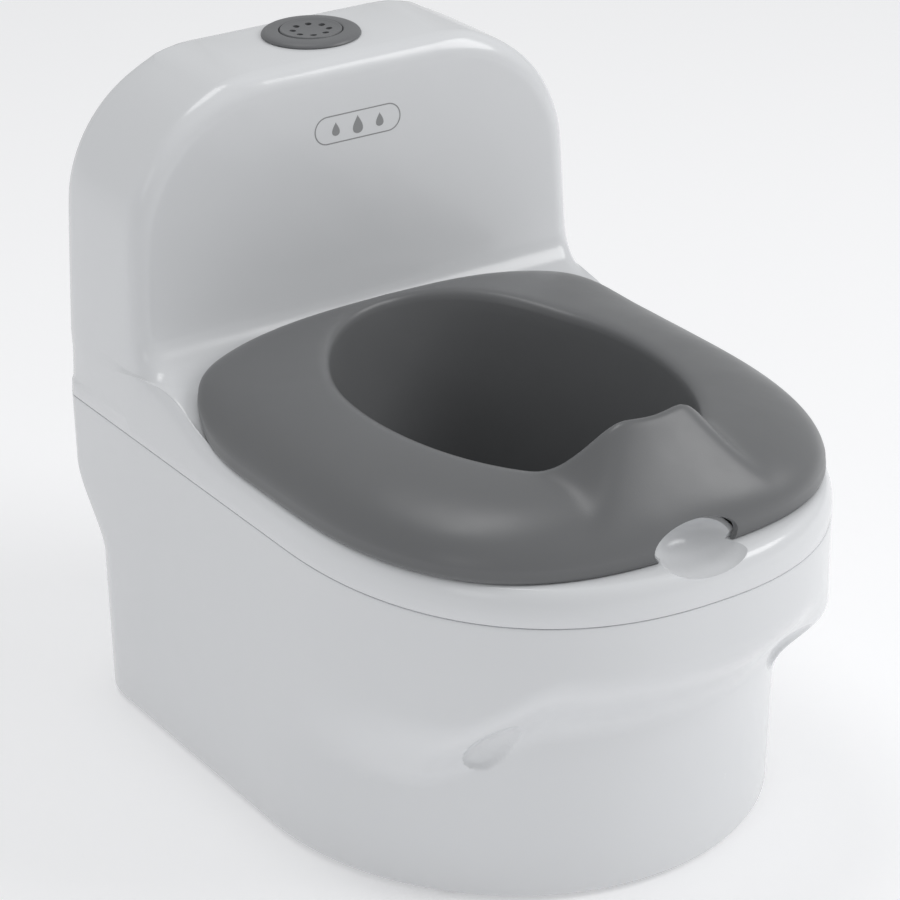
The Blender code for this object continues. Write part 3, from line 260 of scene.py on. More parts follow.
def finish_of(name, colour, roughness, shade=0.03, spread=0.05, grain=(2600.0, 0.00002), swell=(45.0, 0.0),
              scratches=0.06, metallic=0.0, coat=0.0, ior=1.48, streak=(1.0, 1.0, 1.0), low_dirt=0.0):
    """A worn moulded or metal finish: colour and gloss drift, fine grain, slow swell, hair scratches."""
    material = bpy.data.materials.new(name)
    material.use_nodes = True
    tree = material.node_tree
    shader = tree.nodes["Principled BSDF"]
    shader.inputs["Metallic"].default_value = metallic
    shader.inputs["IOR"].default_value = ior
    shader.inputs["Coat Weight"].default_value = coat
    shader.inputs["Coat Roughness"].default_value = 0.12
    place = tree.nodes.new("ShaderNodeTexCoord").outputs["Object"]
    turned_place = tree.nodes.new("ShaderNodeMapping")
    turned_place.inputs["Scale"].default_value = streak
    tree.links.new(place, turned_place.inputs["Vector"])
    along = turned_place.outputs["Vector"]
    drift = noise(tree, place, 14.0, 3.0)
    dark = tuple(c * (1.0 - shade) for c in colour)
    light = tuple(min(1.0, c * (1.0 + shade)) for c in colour)
    tint = colour_mix(tree, drift, dark, light)
    if low_dirt:
        height = tree.nodes.new("ShaderNodeSeparateXYZ")
        tree.links.new(place, height.inputs[0])
        near_floor = ramp_between(tree, height.outputs["Z"], 0.0, 0.030, low_dirt, 0.0)
        patch = plus(tree, near_floor, noise(tree, place, 60.0, 6.0), "MULTIPLY")
        dusty = tree.nodes.new("ShaderNodeMix")
        dusty.data_type = "RGBA"
        dusty.inputs["B"].default_value = (0.45, 0.42, 0.38, 1.0)
        tree.links.new(patch, dusty.inputs["Factor"])
        tree.links.new(tint, dusty.inputs["A"])
        tint = dusty.outputs["Result"]
    tree.links.new(tint, shader.inputs["Base Color"])
    hair = tree.nodes.new("ShaderNodeMapping")
    hair.inputs["Rotation"].default_value = (0.3, 0.5, 0.9)
    hair.inputs["Scale"].default_value = (1.0, 14.0, 1.0)
    tree.links.new(place, hair.inputs["Vector"])
    scratch = ramp_between(tree, noise(tree, hair.outputs["Vector"], 160.0, 2.0),
                           0.66, 0.74, 0.0, scratches)
    gloss = ramp_between(tree, noise(tree, along, 38.0, 5.0),
                         0.3, 0.7, roughness - spread, roughness + spread)
    tree.links.new(plus(tree, gloss, scratch), shader.inputs["Roughness"])
    fine = tree.nodes.new("ShaderNodeBump")
    fine.inputs["Strength"].default_value = 1.0
    fine.inputs["Distance"].default_value = grain[1]
    tree.links.new(noise(tree, along, grain[0], 2.0), fine.inputs["Height"])
    last = fine
    if swell[1]:
        slow = tree.nodes.new("ShaderNodeBump")
        slow.inputs["Strength"].default_value = 1.0
        slow.inputs["Distance"].default_value = swell[1]
        tree.links.new(noise(tree, place, swell[0], 1.0), slow.inputs["Height"])
        tree.links.new(fine.outputs["Normal"], slow.inputs["Normal"])
        last = slow
    tree.links.new(last.outputs["Normal"], shader.inputs["Normal"])
    return material


def make_finishes():
    return {
        "white_shell": finish_of("white_shell_gloss", (0.74, 0.75, 0.765), 0.20, shade=0.008, spread=0.03,
                                 grain=(1500.0, 0.000012), swell=(28.0, 0.00035), scratches=0.05,
                                 coat=0.25, ior=1.50, low_dirt=0.10),
        "grey_seat": finish_of("grey_seat_satin", (0.150, 0.153, 0.157), 0.33, shade=0.035, spread=0.05,
                               grain=(1900.0, 0.00003), swell=(30.0, 0.00030), scratches=0.08),
        "grey_module": finish_of("grey_module_fine_grain", (0.155, 0.158, 0.164), 0.42, shade=0.04,
                                 grain=(2600.0, 0.00005), scratches=0.07),
        "dark_plastic": finish_of("dark_housing", (0.030, 0.030, 0.034), 0.45, shade=0.10,
                                  grain=(2200.0, 0.00005)),
        "rubber": finish_of("black_rubber", (0.035, 0.035, 0.036), 0.78, shade=0.18,
                            grain=(1400.0, 0.00008), scratches=0.0, low_dirt=0.5),
        "steel": finish_of("plated_steel", (0.60, 0.60, 0.62), 0.27, metallic=1.0, grain=(3000.0, 0.00002),
                           streak=(1.0, 1.0, 9.0)),
        "brass": finish_of("contact_brass", (0.74, 0.55, 0.24), 0.30, metallic=1.0, grain=(2600.0, 0.00002),
                           streak=(8.0, 1.0, 1.0)),
        "board_green": finish_of("board_lacquer", (0.015, 0.14, 0.06), 0.32, shade=0.12,
                                 grain=(900.0, 0.00003)),
        "paper_cone": finish_of("speaker_paper", (0.055, 0.055, 0.06), 0.86, shade=0.2,
                                grain=(1100.0, 0.00009)),
        "red_wire": finish_of("red_lead", (0.46, 0.02, 0.02), 0.42, shade=0.08),
        "black_wire": finish_of("black_lead", (0.02, 0.02, 0.02), 0.42, shade=0.08),
        "print": finish_of("printed_mark", (0.30, 0.305, 0.31), 0.45, shade=0.06, grain=(1200.0, 0.00001)),
    }

# ==== small helpers ========================================================================
def smooth_step(low, high, value):
    t = min(1.0, max(0.0, (value - low) / (high - low)))
    return t * t * (3.0 - 2.0 * t)


def mix(a, b, t):
    return a + (b - a) * t


def make_object(name, vertices, faces, material, origin=(0.0, 0.0, 0.0)):
    """A closed mesh object; vertices are given in world coordinates."""
    mesh = bpy.data.meshes.new(name)
    shift = np.array(origin)
    mesh.from_pydata([tuple(np.array(v) - shift) for v in vertices], [], faces)
    work = bmesh.new()
    work.from_mesh(mesh)
    bmesh.ops.remove_doubles(work, verts=work.verts, dist=1e-6)
    bmesh.ops.dissolve_degenerate(work, edges=work.edges, dist=1e-7)
    bmesh.ops.recalc_face_normals(work, faces=work.faces)
    work.to_mesh(mesh)
    work.free()
    item = bpy.data.objects.new(name, mesh)
    item.location = origin
    bpy.context.collection.objects.link(item)
    if material:
        mesh.materials.append(material)
    return item


def finish(item, angle=35.0):
    """Triangulate the long polygons and shade smoothly up to the sharp-edge angle."""
    work = bmesh.new()
    work.from_mesh(item.data)
    big = [f for f in work.faces if len(f.verts) > 4]
    bmesh.ops.triangulate(work, faces=big)
    work.to_mesh(item.data)
    work.free()
    item.data.shade_smooth()
    item.data.set_sharp_from_angle(angle=math.radians(angle))
    return item


def loft(name, rings, material=None, closed=False, origin=(0.0, 0.0, 0.0)):
    """Skin a stack of equal-length rings; the ends are capped unless the stack closes on itself."""
    count = len(rings[0])
    vertices = [tuple(p) for ring in rings for p in ring]
    faces = []
    last = len(rings) if closed else len(rings) - 1
    for r in range(last):
        a, b = r * count, ((r + 1) % len(rings)) * count
        for i in range(count):
            j = (i + 1) % count
            faces.append((a + i, a + j, b + j, b + i))
    if not closed:
        faces.append(tuple(range(count - 1, -1, -1)))
        top = (len(rings) - 1) * count
        faces.append(tuple(top + i for i in range(count)))
    return make_object(name, vertices, faces, material, origin)


def turned(name, profile, centre, material=None, steps=ROUND, origin=None):
    """Revolve (radius, height) pairs about the vertical line through centre; ends on the axis."""
    cx, cy = centre
    vertices, rows = [], []
    for radius, height in profile:
        if radius < 1e-9:
            rows.append([len(vertices)])
            vertices.append((cx, cy, height))
            continue
        rows.append(list(range(len(vertices), len(vertices) + steps)))
        for k in range(steps):
            a = 2.0 * math.pi * k / steps
            vertices.append((cx + radius * math.cos(a), cy + radius * math.sin(a), height))
    faces = []
    closed = profile[0][0] > 1e-9
    pairs = list(zip(rows, rows[1:])) + ([(rows[-1], rows[0])] if closed else [])
    for low, high in pairs:
        for k in range(steps):
            j = (k + 1) % steps
            if len(low) == 1:
                faces.append((low[0], high[k], high[j]))
            elif len(high) == 1:
                faces.append((low[k], low[j], high[0]))
            else:
                faces.append((low[k], low[j], high[j], high[k]))
    return make_object(name, vertices, faces, material, origin or (0.0, 0.0, 0.0))


def box(name, low, high, material=None, origin=(0.0, 0.0, 0.0)):
    (x0, y0, z0), (x1, y1, z1) = low, high
    ring = [(x0, y0), (x1, y0), (x1, y1), (x0, y1)]
    return loft(name, [[(x, y, z0) for x, y in ring], [(x, y, z1) for x, y in ring]],
                material, origin=origin)


def ellipsoid(name, centre, radii, steps=24, rows=12):
    vertices = [(centre[0], centre[1], centre[2] - radii[2])]
    for r in range(1, rows):
        a = -math.pi / 2 + math.pi * r / rows
        for k in range(steps):
            b = 2.0 * math.pi * k / steps
            vertices.append((centre[0] + radii[0] * math.cos(a) * math.cos(b),
                             centre[1] + radii[1] * math.cos(a) * math.sin(b),
                             centre[2] + radii[2] * math.sin(a)))
    vertices.append((centre[0], centre[1], centre[2] + radii[2]))
    faces = [(0, 1 + (k + 1) % steps, 1 + k) for k in range(steps)]
    for r in range(rows - 2):
        a, b = 1 + r * steps, 1 + (r + 1) * steps
        faces += [(a + k, a + (k + 1) % steps, b + (k + 1) % steps, b + k) for k in range(steps)]
    a, top = 1 + (rows - 2) * steps, len(vertices) - 1
    faces += [(a + k, a + (k + 1) % steps, top) for k in range(steps)]
    return make_object(name, vertices, faces, None)


def combine(target, tool, operation, solver="EXACT"):
    """Cut, join or intersect target with tool, then discard the tool."""
    modifier = target.modifiers.new("step", "BOOLEAN")
    modifier.operation = operation
    modifier.solver = solver
    modifier.object = tool
    bpy.context.view_layer.update()
    graph = bpy.context.evaluated_depsgraph_get()
    mesh = bpy.data.meshes.new_from_object(target.evaluated_get(graph))
    target.modifiers.remove(modifier)
    old = target.data
    target.data = mesh
    mesh.name = old.name
    bpy.data.meshes.remove(old)
    bpy.data.objects.remove(tool, do_unlink=True)
    work = bmesh.new()
    work.from_mesh(target.data)
    bmesh.ops.remove_doubles(work, verts=work.verts, dist=2e-6)
    bmesh.ops.dissolve_degenerate(work, edges=work.edges, dist=1e-7)
    work.to_mesh(target.data)
    work.free()
    return target


def cut(target, tool):
    return combine(target, tool, "DIFFERENCE")


def join(target, tool):
    return combine(target, tool, "UNION")


def mirrored(half):
    """Close a half outline (rear centre to front centre, +X side) into a full ring."""
    other = [(-x, y, z) for x, y, z in half[-2:0:-1]]
    return list(half) + other


# ==== joining meshes and measuring volume ==================================================
def merge(name, items):
    """Put several closed meshes into one object."""
    work = bmesh.new()
    for item in items:
        work.from_mesh(item.data)
        bpy.data.objects.remove(item, do_unlink=True)
    mesh = bpy.data.meshes.new(name)
    work.to_mesh(mesh)
    work.free()
    made = bpy.data.objects.new(name, mesh)
    bpy.context.collection.objects.link(made)
    return made


def signed_volume(item):
    work = bmesh.new()
    work.from_mesh(item.data)
    volume = work.calc_volume(signed=True)
    work.free()
    return volume


# ==== plan outlines ========================================================================
def front_curve(half_width, start, front, power, steps):
    points = []
    for k in range(1, steps + 1):
        a = 0.5 * math.pi * k / steps
        c, s = max(0.0, math.cos(a)), math.sin(a)
        if k == steps:
            c = 0.0
        points.append((half_width * c ** (2.0 / power), start + (front - start) * s ** (2.0 / power)))
    return points


def rear_points(half_width, rear, corner, side_end):
    """Rear centre, rear corner and the flank down to side_end."""
    points = [(half_width - corner, rear)]
    points.insert(0, (0.0, rear))
    for k in range(1, CORNER_STEPS + 1):
        a = 0.5 * math.pi * (1.0 - k / CORNER_STEPS)
        points.append((half_width - corner + corner * math.cos(a),
                       rear - corner + corner * math.sin(a)))
    for k in range(1, FLANK_STEPS + 1):
        points.append((half_width, mix(rear - corner, side_end, k / FLANK_STEPS)))
    return points


def flank_end():
    return TANK_FRONT + TANK_CORNER


def body_half(half_width, rear, front, corner, front_start, power):
    """Right half of the body outline at one height, as (x, y) pairs."""
    points = rear_points(half_width, rear, corner, flank_end())
    for k in range(1, SIDE_STEPS + 1):
        points.append((half_width, mix(flank_end(), front_start, (k / SIDE_STEPS) ** 1.6)))
    return points + front_curve(half_width, front_start, front, power, FRONT_STEPS)


def crease_height(index):
    """Height of the crease at one point of the outline; it arches over the front."""
    first = fixed_count() + SIDE_STEPS - 1
    around = 90.0 * (index - first) / FRONT_STEPS
    return mix(CREASE_SIDE_HEIGHT, CREASE_HEIGHT, smooth_step(*CREASE_TURN, around))


def pedestal_section(z, inset=0.0):
    """Outline values of the pedestal at height z, moved in by inset."""
    back = smooth_step(*REAR_STEP_HEIGHT, z)
    lean = PEDESTAL_DRAFT * min(1.0, z / CREASE_HEIGHT)
    return dict(
        half_width=mix(BASE_HALF_WIDTH, BODY_HALF_WIDTH, min(1.0, z / SEAM_HEIGHT)) - inset,
        rear=BODY_REAR - BASE_REAR_STEP * (1.0 - back) - inset,
        front=PEDESTAL_FRONT - lean + inset,
        corner=max(0.002, mix(BASE_CORNER, BODY_CORNER, back) - inset),
        front_start=BASE_FRONT_START, power=BASE_POWER)


def body_section(z, inset=0.0):
    """Outline values of the full body at height z, moved in by inset."""
    section = pedestal_section(z, inset)
    section.update(front=BODY_FRONT + inset, front_start=BODY_FRONT_START, power=BODY_POWER)
    return section


def body_ring(z, inset=0.0):
    """Body outline at height z: the pedestal below the crease, swelling to the full body above."""
    low = body_half(**pedestal_section(z, inset))
    high = body_half(**body_section(z, inset))
    half = []
    for index, (p, q) in enumerate(zip(low, high)):
        start = crease_height(index)
        share = smooth_step(start, start + BULGE_RISE, z)
        half.append((mix(p[0], q[0], share), mix(p[1], q[1], share), z))
    return mirrored(half)


def skin_depth(x, z):
    """Depth of the body's front skin at width x and height z."""
    ring = body_ring(z)
    half = [(p[0], p[1]) for p in ring[fixed_count():fixed_count() + SIDE_STEPS + FRONT_STEPS]]
    for (x0, y0), (x1, y1) in zip(half, half[1:]):
        if x1 <= x <= x0 and x0 > x1:
            return mix(y0, y1, (x0 - x) / (x0 - x1))
    return half[-1][1]


def skin_slope(x, z, dx, dz):
    """Change of the front skin's depth per unit of width or height."""
    step = math.hypot(dx, dz)
    return (skin_depth(x + dx, z + dz) - skin_depth(x - dx, z - dz)) / (2.0 * step)


def ramp(y):
    end = TANK_FRONT - TANK_FOOT
    return DECK_RISE * smooth_step(end - RAMP_LENGTH, end, y)


def deck_surface(y):
    """Height of the deck at depth y, along the ramp and up the hollow fillet."""
    start = TANK_FRONT - TANK_FOOT
    height = DECK_HEIGHT + ramp(y)
    if y > start:
        reach = min(TANK_FOOT, y - start)
        height += TANK_FOOT - math.sqrt(TANK_FOOT ** 2 - reach ** 2)
    return height


def arch_width(z, inset, wall):
    """Half width of the tank's arch, moved in by inset, at height z."""
    centre = TOTAL_HEIGHT - ARCH_RADIUS
    up = (z - SEAM_HEIGHT) / (centre - SEAM_HEIGHT)
    straight = mix(BODY_HALF_WIDTH, TANK_HALF_WIDTH, min(1.0, max(0.0, up))) - wall - inset
    if z <= centre:
        return straight
    radius = max(1e-6, ARCH_RADIUS - wall - inset)
    rise = min(radius, z - centre)
    return straight - (radius - math.sqrt(radius ** 2 - rise ** 2))


def tank_half(z, wall, foot=0.0):
    """Right half of the tank outline; foot moves its front forward for the hollow fillet."""
    top = TOTAL_HEIGHT - wall
    left_over = max(0.0, top - z)

    def limit(radius):
        return 0.5 * math.pi if left_over >= radius else math.acos(1.0 - left_over / radius)

    back, front = TANK_REAR_ROUND - wall, TANK_CORNER - wall
    rear = BODY_REAR - wall
    points = []
    a_max = limit(back)
    y_rear = rear - back * (1.0 - math.sin(a_max))
    points.append((0.0, y_rear))
    for k in range(CORNER_STEPS + 1):
        a = a_max * (1.0 - k / CORNER_STEPS)
        inset = back * (1.0 - math.cos(a))
        points.append((arch_width(z, inset, wall), rear - back * (1.0 - math.sin(a))))
    y_side = TANK_FRONT + TANK_CORNER
    points.append((arch_width(z, 0.0, wall), y_side))
    a_max = limit(front)
    face = TANK_FRONT + wall
    for k in range(1, SIDE_STEPS + 1):
        a = a_max * k / SIDE_STEPS
        inset = front * (1.0 - math.cos(a))
        points.append((arch_width(z, inset, wall),
                       face + front * (1.0 - math.sin(a)) - foot * math.sin(a)))
    x_end, y_end = points[-1]
    for k in range(1, FRONT_STEPS + 1):
        points.append((x_end * (1.0 - k / FRONT_STEPS), y_end))
    return [(x, y, z) for x, y in points]


def fixed_count():
    """Outline points from the rear centre to the tank's front corner."""
    return 2 + CORNER_STEPS + FLANK_STEPS


def shoulder_half(angle, wall, share):
    """Right half of the ring at one angle round the shoulder."""
    a = math.radians(angle)
    inset = (SHOULDER_INSET) * (1.0 - math.cos(a))
    z_up = SHOULDER_START + (DECK_HEIGHT - wall - SHOULDER_START) * math.sin(a)
    s = body_section(SEAM_HEIGHT, wall)
    plan = body_half(**s)
    half = []
    for index, (x, y) in enumerate(plan):
        if index < fixed_count():
            z = mix(SHOULDER_START, DECK_HEIGHT + DECK_RISE - wall, share)
            x = x * arch_width(z, 0.0, wall) / s["half_width"] if index else x
            half.append((x, y, z))
            continue
        k = smooth_step(0.0, 1.0, (flank_end() - y) / 0.040)
        scale = 1.0 - inset * k / s["half_width"]
        reach = s["front"] - s["front_start"]
        stretch = 1.0 + inset / reach
        y_in = y if y > s["front_start"] else s["front_start"] + (y - s["front_start"]) * stretch
        z = z_up + ramp(y_in) * math.sin(a)
        half.append((x * scale, y_in, z))
    return half


def blend_half(edge, foot, t, wall):
    half = []
    for index, (p, q) in enumerate(zip(edge, foot)):
        x, y, z = (mix(a, b, t) for a, b in zip(p, q))
        if index >= fixed_count():
            z = DECK_HEIGHT - wall + ramp(y)
        half.append((x, y, z))
    return half


def upper_rings(wall, shoulder_angles, deck_shares, foot_angles, arch_angles):
    rings = []
    for angle in shoulder_angles:
        rings.append(shoulder_half(angle, wall, 0.6 * angle / 90.0))
    radius = TANK_FOOT + wall
    base = DECK_HEIGHT + DECK_RISE - wall
    foot_start = tank_half(base, wall, radius)
    foot_start = [(x, y, z if i < fixed_count() else DECK_HEIGHT - wall + ramp(y))
                  for i, (x, y, z) in enumerate(foot_start)]
    edge = rings[-1]
    rings += [blend_half(edge, foot_start, t, wall) for t in deck_shares]
    rings.append(foot_start)
    for angle in foot_angles:
        a = math.radians(angle)
        rings.append(tank_half(base + radius * (1.0 - math.cos(a)), wall, radius * (1.0 - math.sin(a))))
    centre = TOTAL_HEIGHT - ARCH_RADIUS
    rings.append(tank_half(0.5 * (rings[-1][0][2] + centre), wall))
    rings.append(tank_half(centre, wall))
    reach = ARCH_RADIUS - wall
    rings += [tank_half(centre + reach * math.sin(math.radians(a)), wall) for a in arch_angles]
    return [mirrored(r) for r in rings]


def finger_scoop(name, grow, steps=28, rows=12):
    return ellipsoid(name, (0.0, NOTCH_MIDDLE, DECK_HEIGHT + NOTCH_RISE),
                     (NOTCH_HALF_WIDTH + grow, NOTCH_DEPTH + grow, NOTCH_HEIGHT + grow), steps, rows)


def seat_count():
    return 240


def egg_point(j, half_width, front, rear, rear_power=2.0, front_power=2.0):
    a = 2.0 * math.pi * j / seat_count()
    c, s = math.cos(a), math.sin(a)
    power = rear_power if s > 0 else front_power
    x = half_width * math.copysign(abs(c) ** (2.0 / power), c)
    y = math.copysign(abs(s) ** (2.0 / power), s)
    return x, SEAT_MIDDLE + y * ((rear - SEAT_MIDDLE) if s > 0 else (SEAT_MIDDLE - front))


def rim_point(j, grow=0.0, share=1.0):
    return egg_point(j, (OPENING_HALF_WIDTH + grow) * share,
                     SEAT_MIDDLE + (OPENING_FRONT - grow - SEAT_MIDDLE) * share,
                     SEAT_MIDDLE + (OPENING_REAR + grow - SEAT_MIDDLE) * share, 2.1, 2.0)


def flange_point(j):
    return egg_point(j, SEAT_HALF_WIDTH, SEAT_FRONT, SEAT_REAR, SEAT_REAR_POWER, SEAT_FRONT_POWER)


def guard_share(x, y, spread=0.0):
    """How much of the splash guard applies at a point; spread widens it towards the flange."""
    if y > SEAT_MIDDLE:
        return 0.0
    return 1.0 - smooth_step(GUARD_CORNER, 1.0, abs(x) / (GUARD_HALF_WIDTH + spread))


def crest(x, y):
    height = CREST_HEIGHT + CREST_REAR_RISE * smooth_step(0.02, 0.09, y)
    return height + GUARD_RISE * guard_share(x, y)


def seat_column(j):
    """Points of the upper skin from the flange edge over the ring and down the bowl."""
    xo, yo = flange_point(j)
    xi, yi = rim_point(j)
    span = math.hypot(xo - xi, yo - yi)
    start = TANK_FRONT - TANK_FOOT - RAMP_LENGTH
    bottom = deck_surface(yo) + GAP + RAMP_STAND_OFF * smooth_step(start - 0.020, start + 0.010, yo)
    lip = bottom + SEAT_LIP
    top = crest(xi, yi)
    plain_top = top - GUARD_RISE * guard_share(xi, yi)
    points = [(xo, yo, bottom), (xo, yo, lip)]
    roll = 0.0035 / span
    for angle in (78, 64, 50, 36, 22, 10, 2):
        a = math.radians(angle)
        s = roll + (1.0 - roll) * math.sin(a)
        dome = lip + (plain_top - lip) * math.cos(a)
        edge = SEAT_EDGE_RISE * min(1.0, math.cos(a) / math.cos(math.radians(50)))
        slope = lip + edge + (top - lip - SEAT_EDGE_RISE) * 0.97 * (1.0 - math.sin(a)) ** GUARD_SWEEP
        px, py = mix(xi, xo, s), mix(yi, yo, s)
        points.append((px, py, mix(dome, slope, guard_share(px, py, GUARD_SPREAD * s))))
    points.append((mix(xi, xo, 0.3 * roll), mix(yi, yo, 0.3 * roll), top - 0.0009))
    points.append((xi, yi, top - 0.0040))
    low = BOWL_FLOOR + BOWL_CORNER
    for t in (0.30, 0.65, 1.0):
        px, py = rim_point(j, 0.0, mix(1.0, BOWL_TAPER, t))
        points.append((px, py, mix(top - 0.0040, low, t)))
    for angle in (30, 60, 90):
        a = math.radians(angle)
        px, py = rim_point(j, -BOWL_CORNER * (1.0 - math.cos(a)), BOWL_TAPER)
        points.append((px, py, low - BOWL_CORNER * math.sin(a)))
    px, py = rim_point(j, -BOWL_CORNER, BOWL_TAPER * 0.5)
    points.append((px, py, BOWL_FLOOR))
    return points


def skin_normals(grid):
    """Outward normals of the upper skin; grid is column by row by xyz."""
    along = np.roll(grid, -1, axis=0) - np.roll(grid, 1, axis=0)
    down = np.empty_like(grid)
    down[:, 1:-1] = grid[:, 2:] - grid[:, :-2]
    down[:, 0] = grid[:, 1] - grid[:, 0]
    down[:, -1] = grid[:, -1] - grid[:, -2]
    normal = np.cross(down, along)
    normal /= np.linalg.norm(normal, axis=2, keepdims=True)
    return normal


def close_rim(j, column):
    """Meet the underside of the ring and the outside of the bowl in one line under the rim."""
    start = np.array(rim_point(j))
    along = np.array(flange_point(j)) - start
    along /= np.linalg.norm(along)
    s = (column[:, :2] - start) @ along
    z = column[:, 2]
    slope_ring = (z[RIM_ROW] - z[RIM_ROW - 1]) / (s[RIM_ROW] - s[RIM_ROW - 1])
    slope_bowl = (s[RIM_ROW + 3] - s[RIM_ROW + 4]) / (z[RIM_ROW + 3] - z[RIM_ROW + 4])
    meet = s[RIM_ROW]
    for _ in range(12):
        height = z[RIM_ROW] + slope_ring * (meet - s[RIM_ROW])
        meet = s[RIM_ROW + 3] + slope_bowl * (height - z[RIM_ROW + 3])
    first = RIM_ROW if s[RIM_ROW] < meet + 0.0004 else RIM_ROW + 1
    column[first:RIM_ROW + 3, :2] = start + along * meet
    column[first:RIM_ROW + 3, 2] = height


def seat_skins():
    """Upper skin and underside of the insert, column by row by xyz."""
    grid = np.array([seat_column(j) for j in range(seat_count())])
    normal = skin_normals(grid)
    if normal[0, 2, 2] < 0.0:
        normal = -normal
    under = grid - SEAT_WALL * normal
    under[:, 0, 2] = grid[:, 0, 2]
    under[:, -1, 2] = BOWL_FLOOR - SEAT_WALL
    for j in range(seat_count()):
        close_rim(j, under[j])
    return grid, under


def scoop_wall():
    """Wall of the finger scoop that stands on the deck under the ring of the insert."""
    middle, reach = 3 * seat_count() // 4, seat_count() // 10
    rows = seat_skins()[0][middle - reach:middle + reach + 1, 1:RIM_ROW].copy()
    outward = rows[:, 0, :2] - np.array([0.0, SEAT_MIDDLE])
    outward /= np.linalg.norm(outward, axis=1, keepdims=True)
    rows[:, :2, :2] -= (SEAT_WALL + 2.0 * GAP) * outward[:, None]
    rows[:, :, 2] = np.maximum(rows[:, :, 2] - 2.2 * SEAT_WALL - GAP, DECK_HEIGHT)
    low = rows.copy()
    low[:, :, 2] = DECK_HEIGHT - 0.5 * WALL
    rings = [list(top) + [under[-1], under[0]] for top, under in zip(rows, low)]
    solid = loft("scoop_wall", rings)
    return combine(solid, finger_scoop("scoop_back", WALL), "INTERSECT")



# ==== fine shells ==========================================================================
def dent(points, inset):
    """Sink the two egg-shaped dimples into a skin that lies inset behind the outer one."""
    turn = math.atan(skin_slope(DIMPLE_X, DIMPLE_HEIGHT, 0.002, 0.0))
    x, y, z = np.abs(points[:, 0]), points[:, 1], points[:, 2]
    across = (x - DIMPLE_X) / math.cos(turn)
    up = (z - DIMPLE_HEIGHT) / (DIMPLE_HALF_HEIGHT - 0.3 * inset)
    wide = (DIMPLE_HALF_WIDTH - 0.3 * inset) * (1.0 + DIMPLE_BLUNTNESS * up)
    far = np.sqrt(np.clip((across / wide) ** 2 + up ** 2, 0.0, None))
    share = np.clip((1.08 - far) / 1.08, 0.0, 1.0)
    depth = DENT_DEPTH * share ** 0.55 * np.where(far < 1.08, 1.0, 0.0)
    soft = np.clip((1.08 - far) / 0.10, 0.0, 1.0)
    depth = depth * (y < 0.0) * (soft * soft * (3.0 - 2.0 * soft))
    points[:, 0] += np.sign(points[:, 0]) * depth * math.sin(turn) * -1.0
    points[:, 1] += depth * math.cos(turn)
    return points


def as_rings(rings):
    return np.array([[tuple(p) for p in ring] for ring in rings])


def relax(grid, rounds, first, last):
    """Soften the folds of a ring grid; rings before first and after last stay."""
    for _ in range(rounds):
        mean = 0.25 * (np.roll(grid, 1, 1) + np.roll(grid, -1, 1))
        mean[1:-1] += 0.25 * (grid[2:] + grid[:-2])
        grid[first:last] = 0.5 * grid[first:last] + 0.5 * mean[first:last]
    return grid


def fine_base():
    rings = []
    for angle in np.linspace(0.0, 90.0, 6):
        a = math.radians(angle)
        rings.append(body_ring(BASE_BOTTOM + BASE_EDGE * (1.0 - math.cos(a)),
                               BASE_EDGE * (1.0 - math.sin(a))))
    heights = list(np.linspace(0.012, 0.052, 8)) + list(np.linspace(0.054, 0.112, 46))
    heights += list(np.linspace(0.114, SEAM_HEIGHT - EDGE_ROUND, 24))
    outer = [body_ring(z) for z in heights]
    outer = [list(map(tuple, dent(np.array(ring), 0.0))) for ring in outer]
    rings += outer
    rings.append(body_ring(SEAM_HEIGHT - 0.3 * EDGE_ROUND, 0.3 * EDGE_ROUND))
    rings.append(body_ring(SEAM_HEIGHT, EDGE_ROUND))
    step = WALL - TONGUE_THICKNESS
    for height, inset in ((0.0, step), (TONGUE_HEIGHT - 0.0002, step), (TONGUE_HEIGHT, step + 0.0002),
                          (TONGUE_HEIGHT, WALL)):
        rings.append([(x, y, SEAM_HEIGHT + height) for x, y, _ in body_ring(SEAM_HEIGHT, inset)])
    floor = BASE_BOTTOM + FLOOR_THICKNESS
    inner = list(np.linspace(SEAM_HEIGHT, 0.112, 8)) + list(np.linspace(0.110, 0.056, 28))
    inner += [0.040, 0.020, floor]
    for z in inner:
        ring = body_ring(z, WALL)
        if z > 0.05:
            ring = list(map(tuple, dent(np.array(ring), WALL)))
        rings.append(ring)
    shell = loft("base_shell_skin", rings)
    posts = []
    for x, y in SCREW_PLACES:
        posts.append(turned("post", [(0.0, floor - 0.001), (POST_RADIUS + 0.0015, floor - 0.001),
                                     (POST_RADIUS + 0.0012, floor + 0.001), (POST_RADIUS, floor + 0.004),
                                     (POST_RADIUS, POST_TOP - 0.0004), (POST_RADIUS - 0.0004, POST_TOP),
                                     (0.0, POST_TOP)], (x, y), steps=40))
    join(shell, merge("posts", posts))
    cutters = []
    for x, y in SCREW_PLACES:
        well, hole = SCREW_HEAD + 0.0009, SCREW_SHANK + 0.0004
        cutters.append(turned("well", [(0.0, -0.01), (well, -0.01), (well, POST_SHELF), (hole, POST_SHELF),
                                       (hole, POST_TOP + 0.01), (0.0, POST_TOP + 0.01)], (x, y), steps=32))
    for x, y in FOOT_PLACES:
        pad, stem = FOOT_RADIUS + GAP, FOOT_STEM + GAP
        cutters.append(turned("foot_seat", [(0.0, -0.01), (pad, -0.01), (pad, BASE_BOTTOM + FOOT_RECESS),
                                            (stem, BASE_BOTTOM + FOOT_RECESS), (stem, floor + 0.01),
                                            (0.0, floor + 0.01)], (x, y), steps=48))
    cut(shell, merge("cutters", cutters))
    return shell


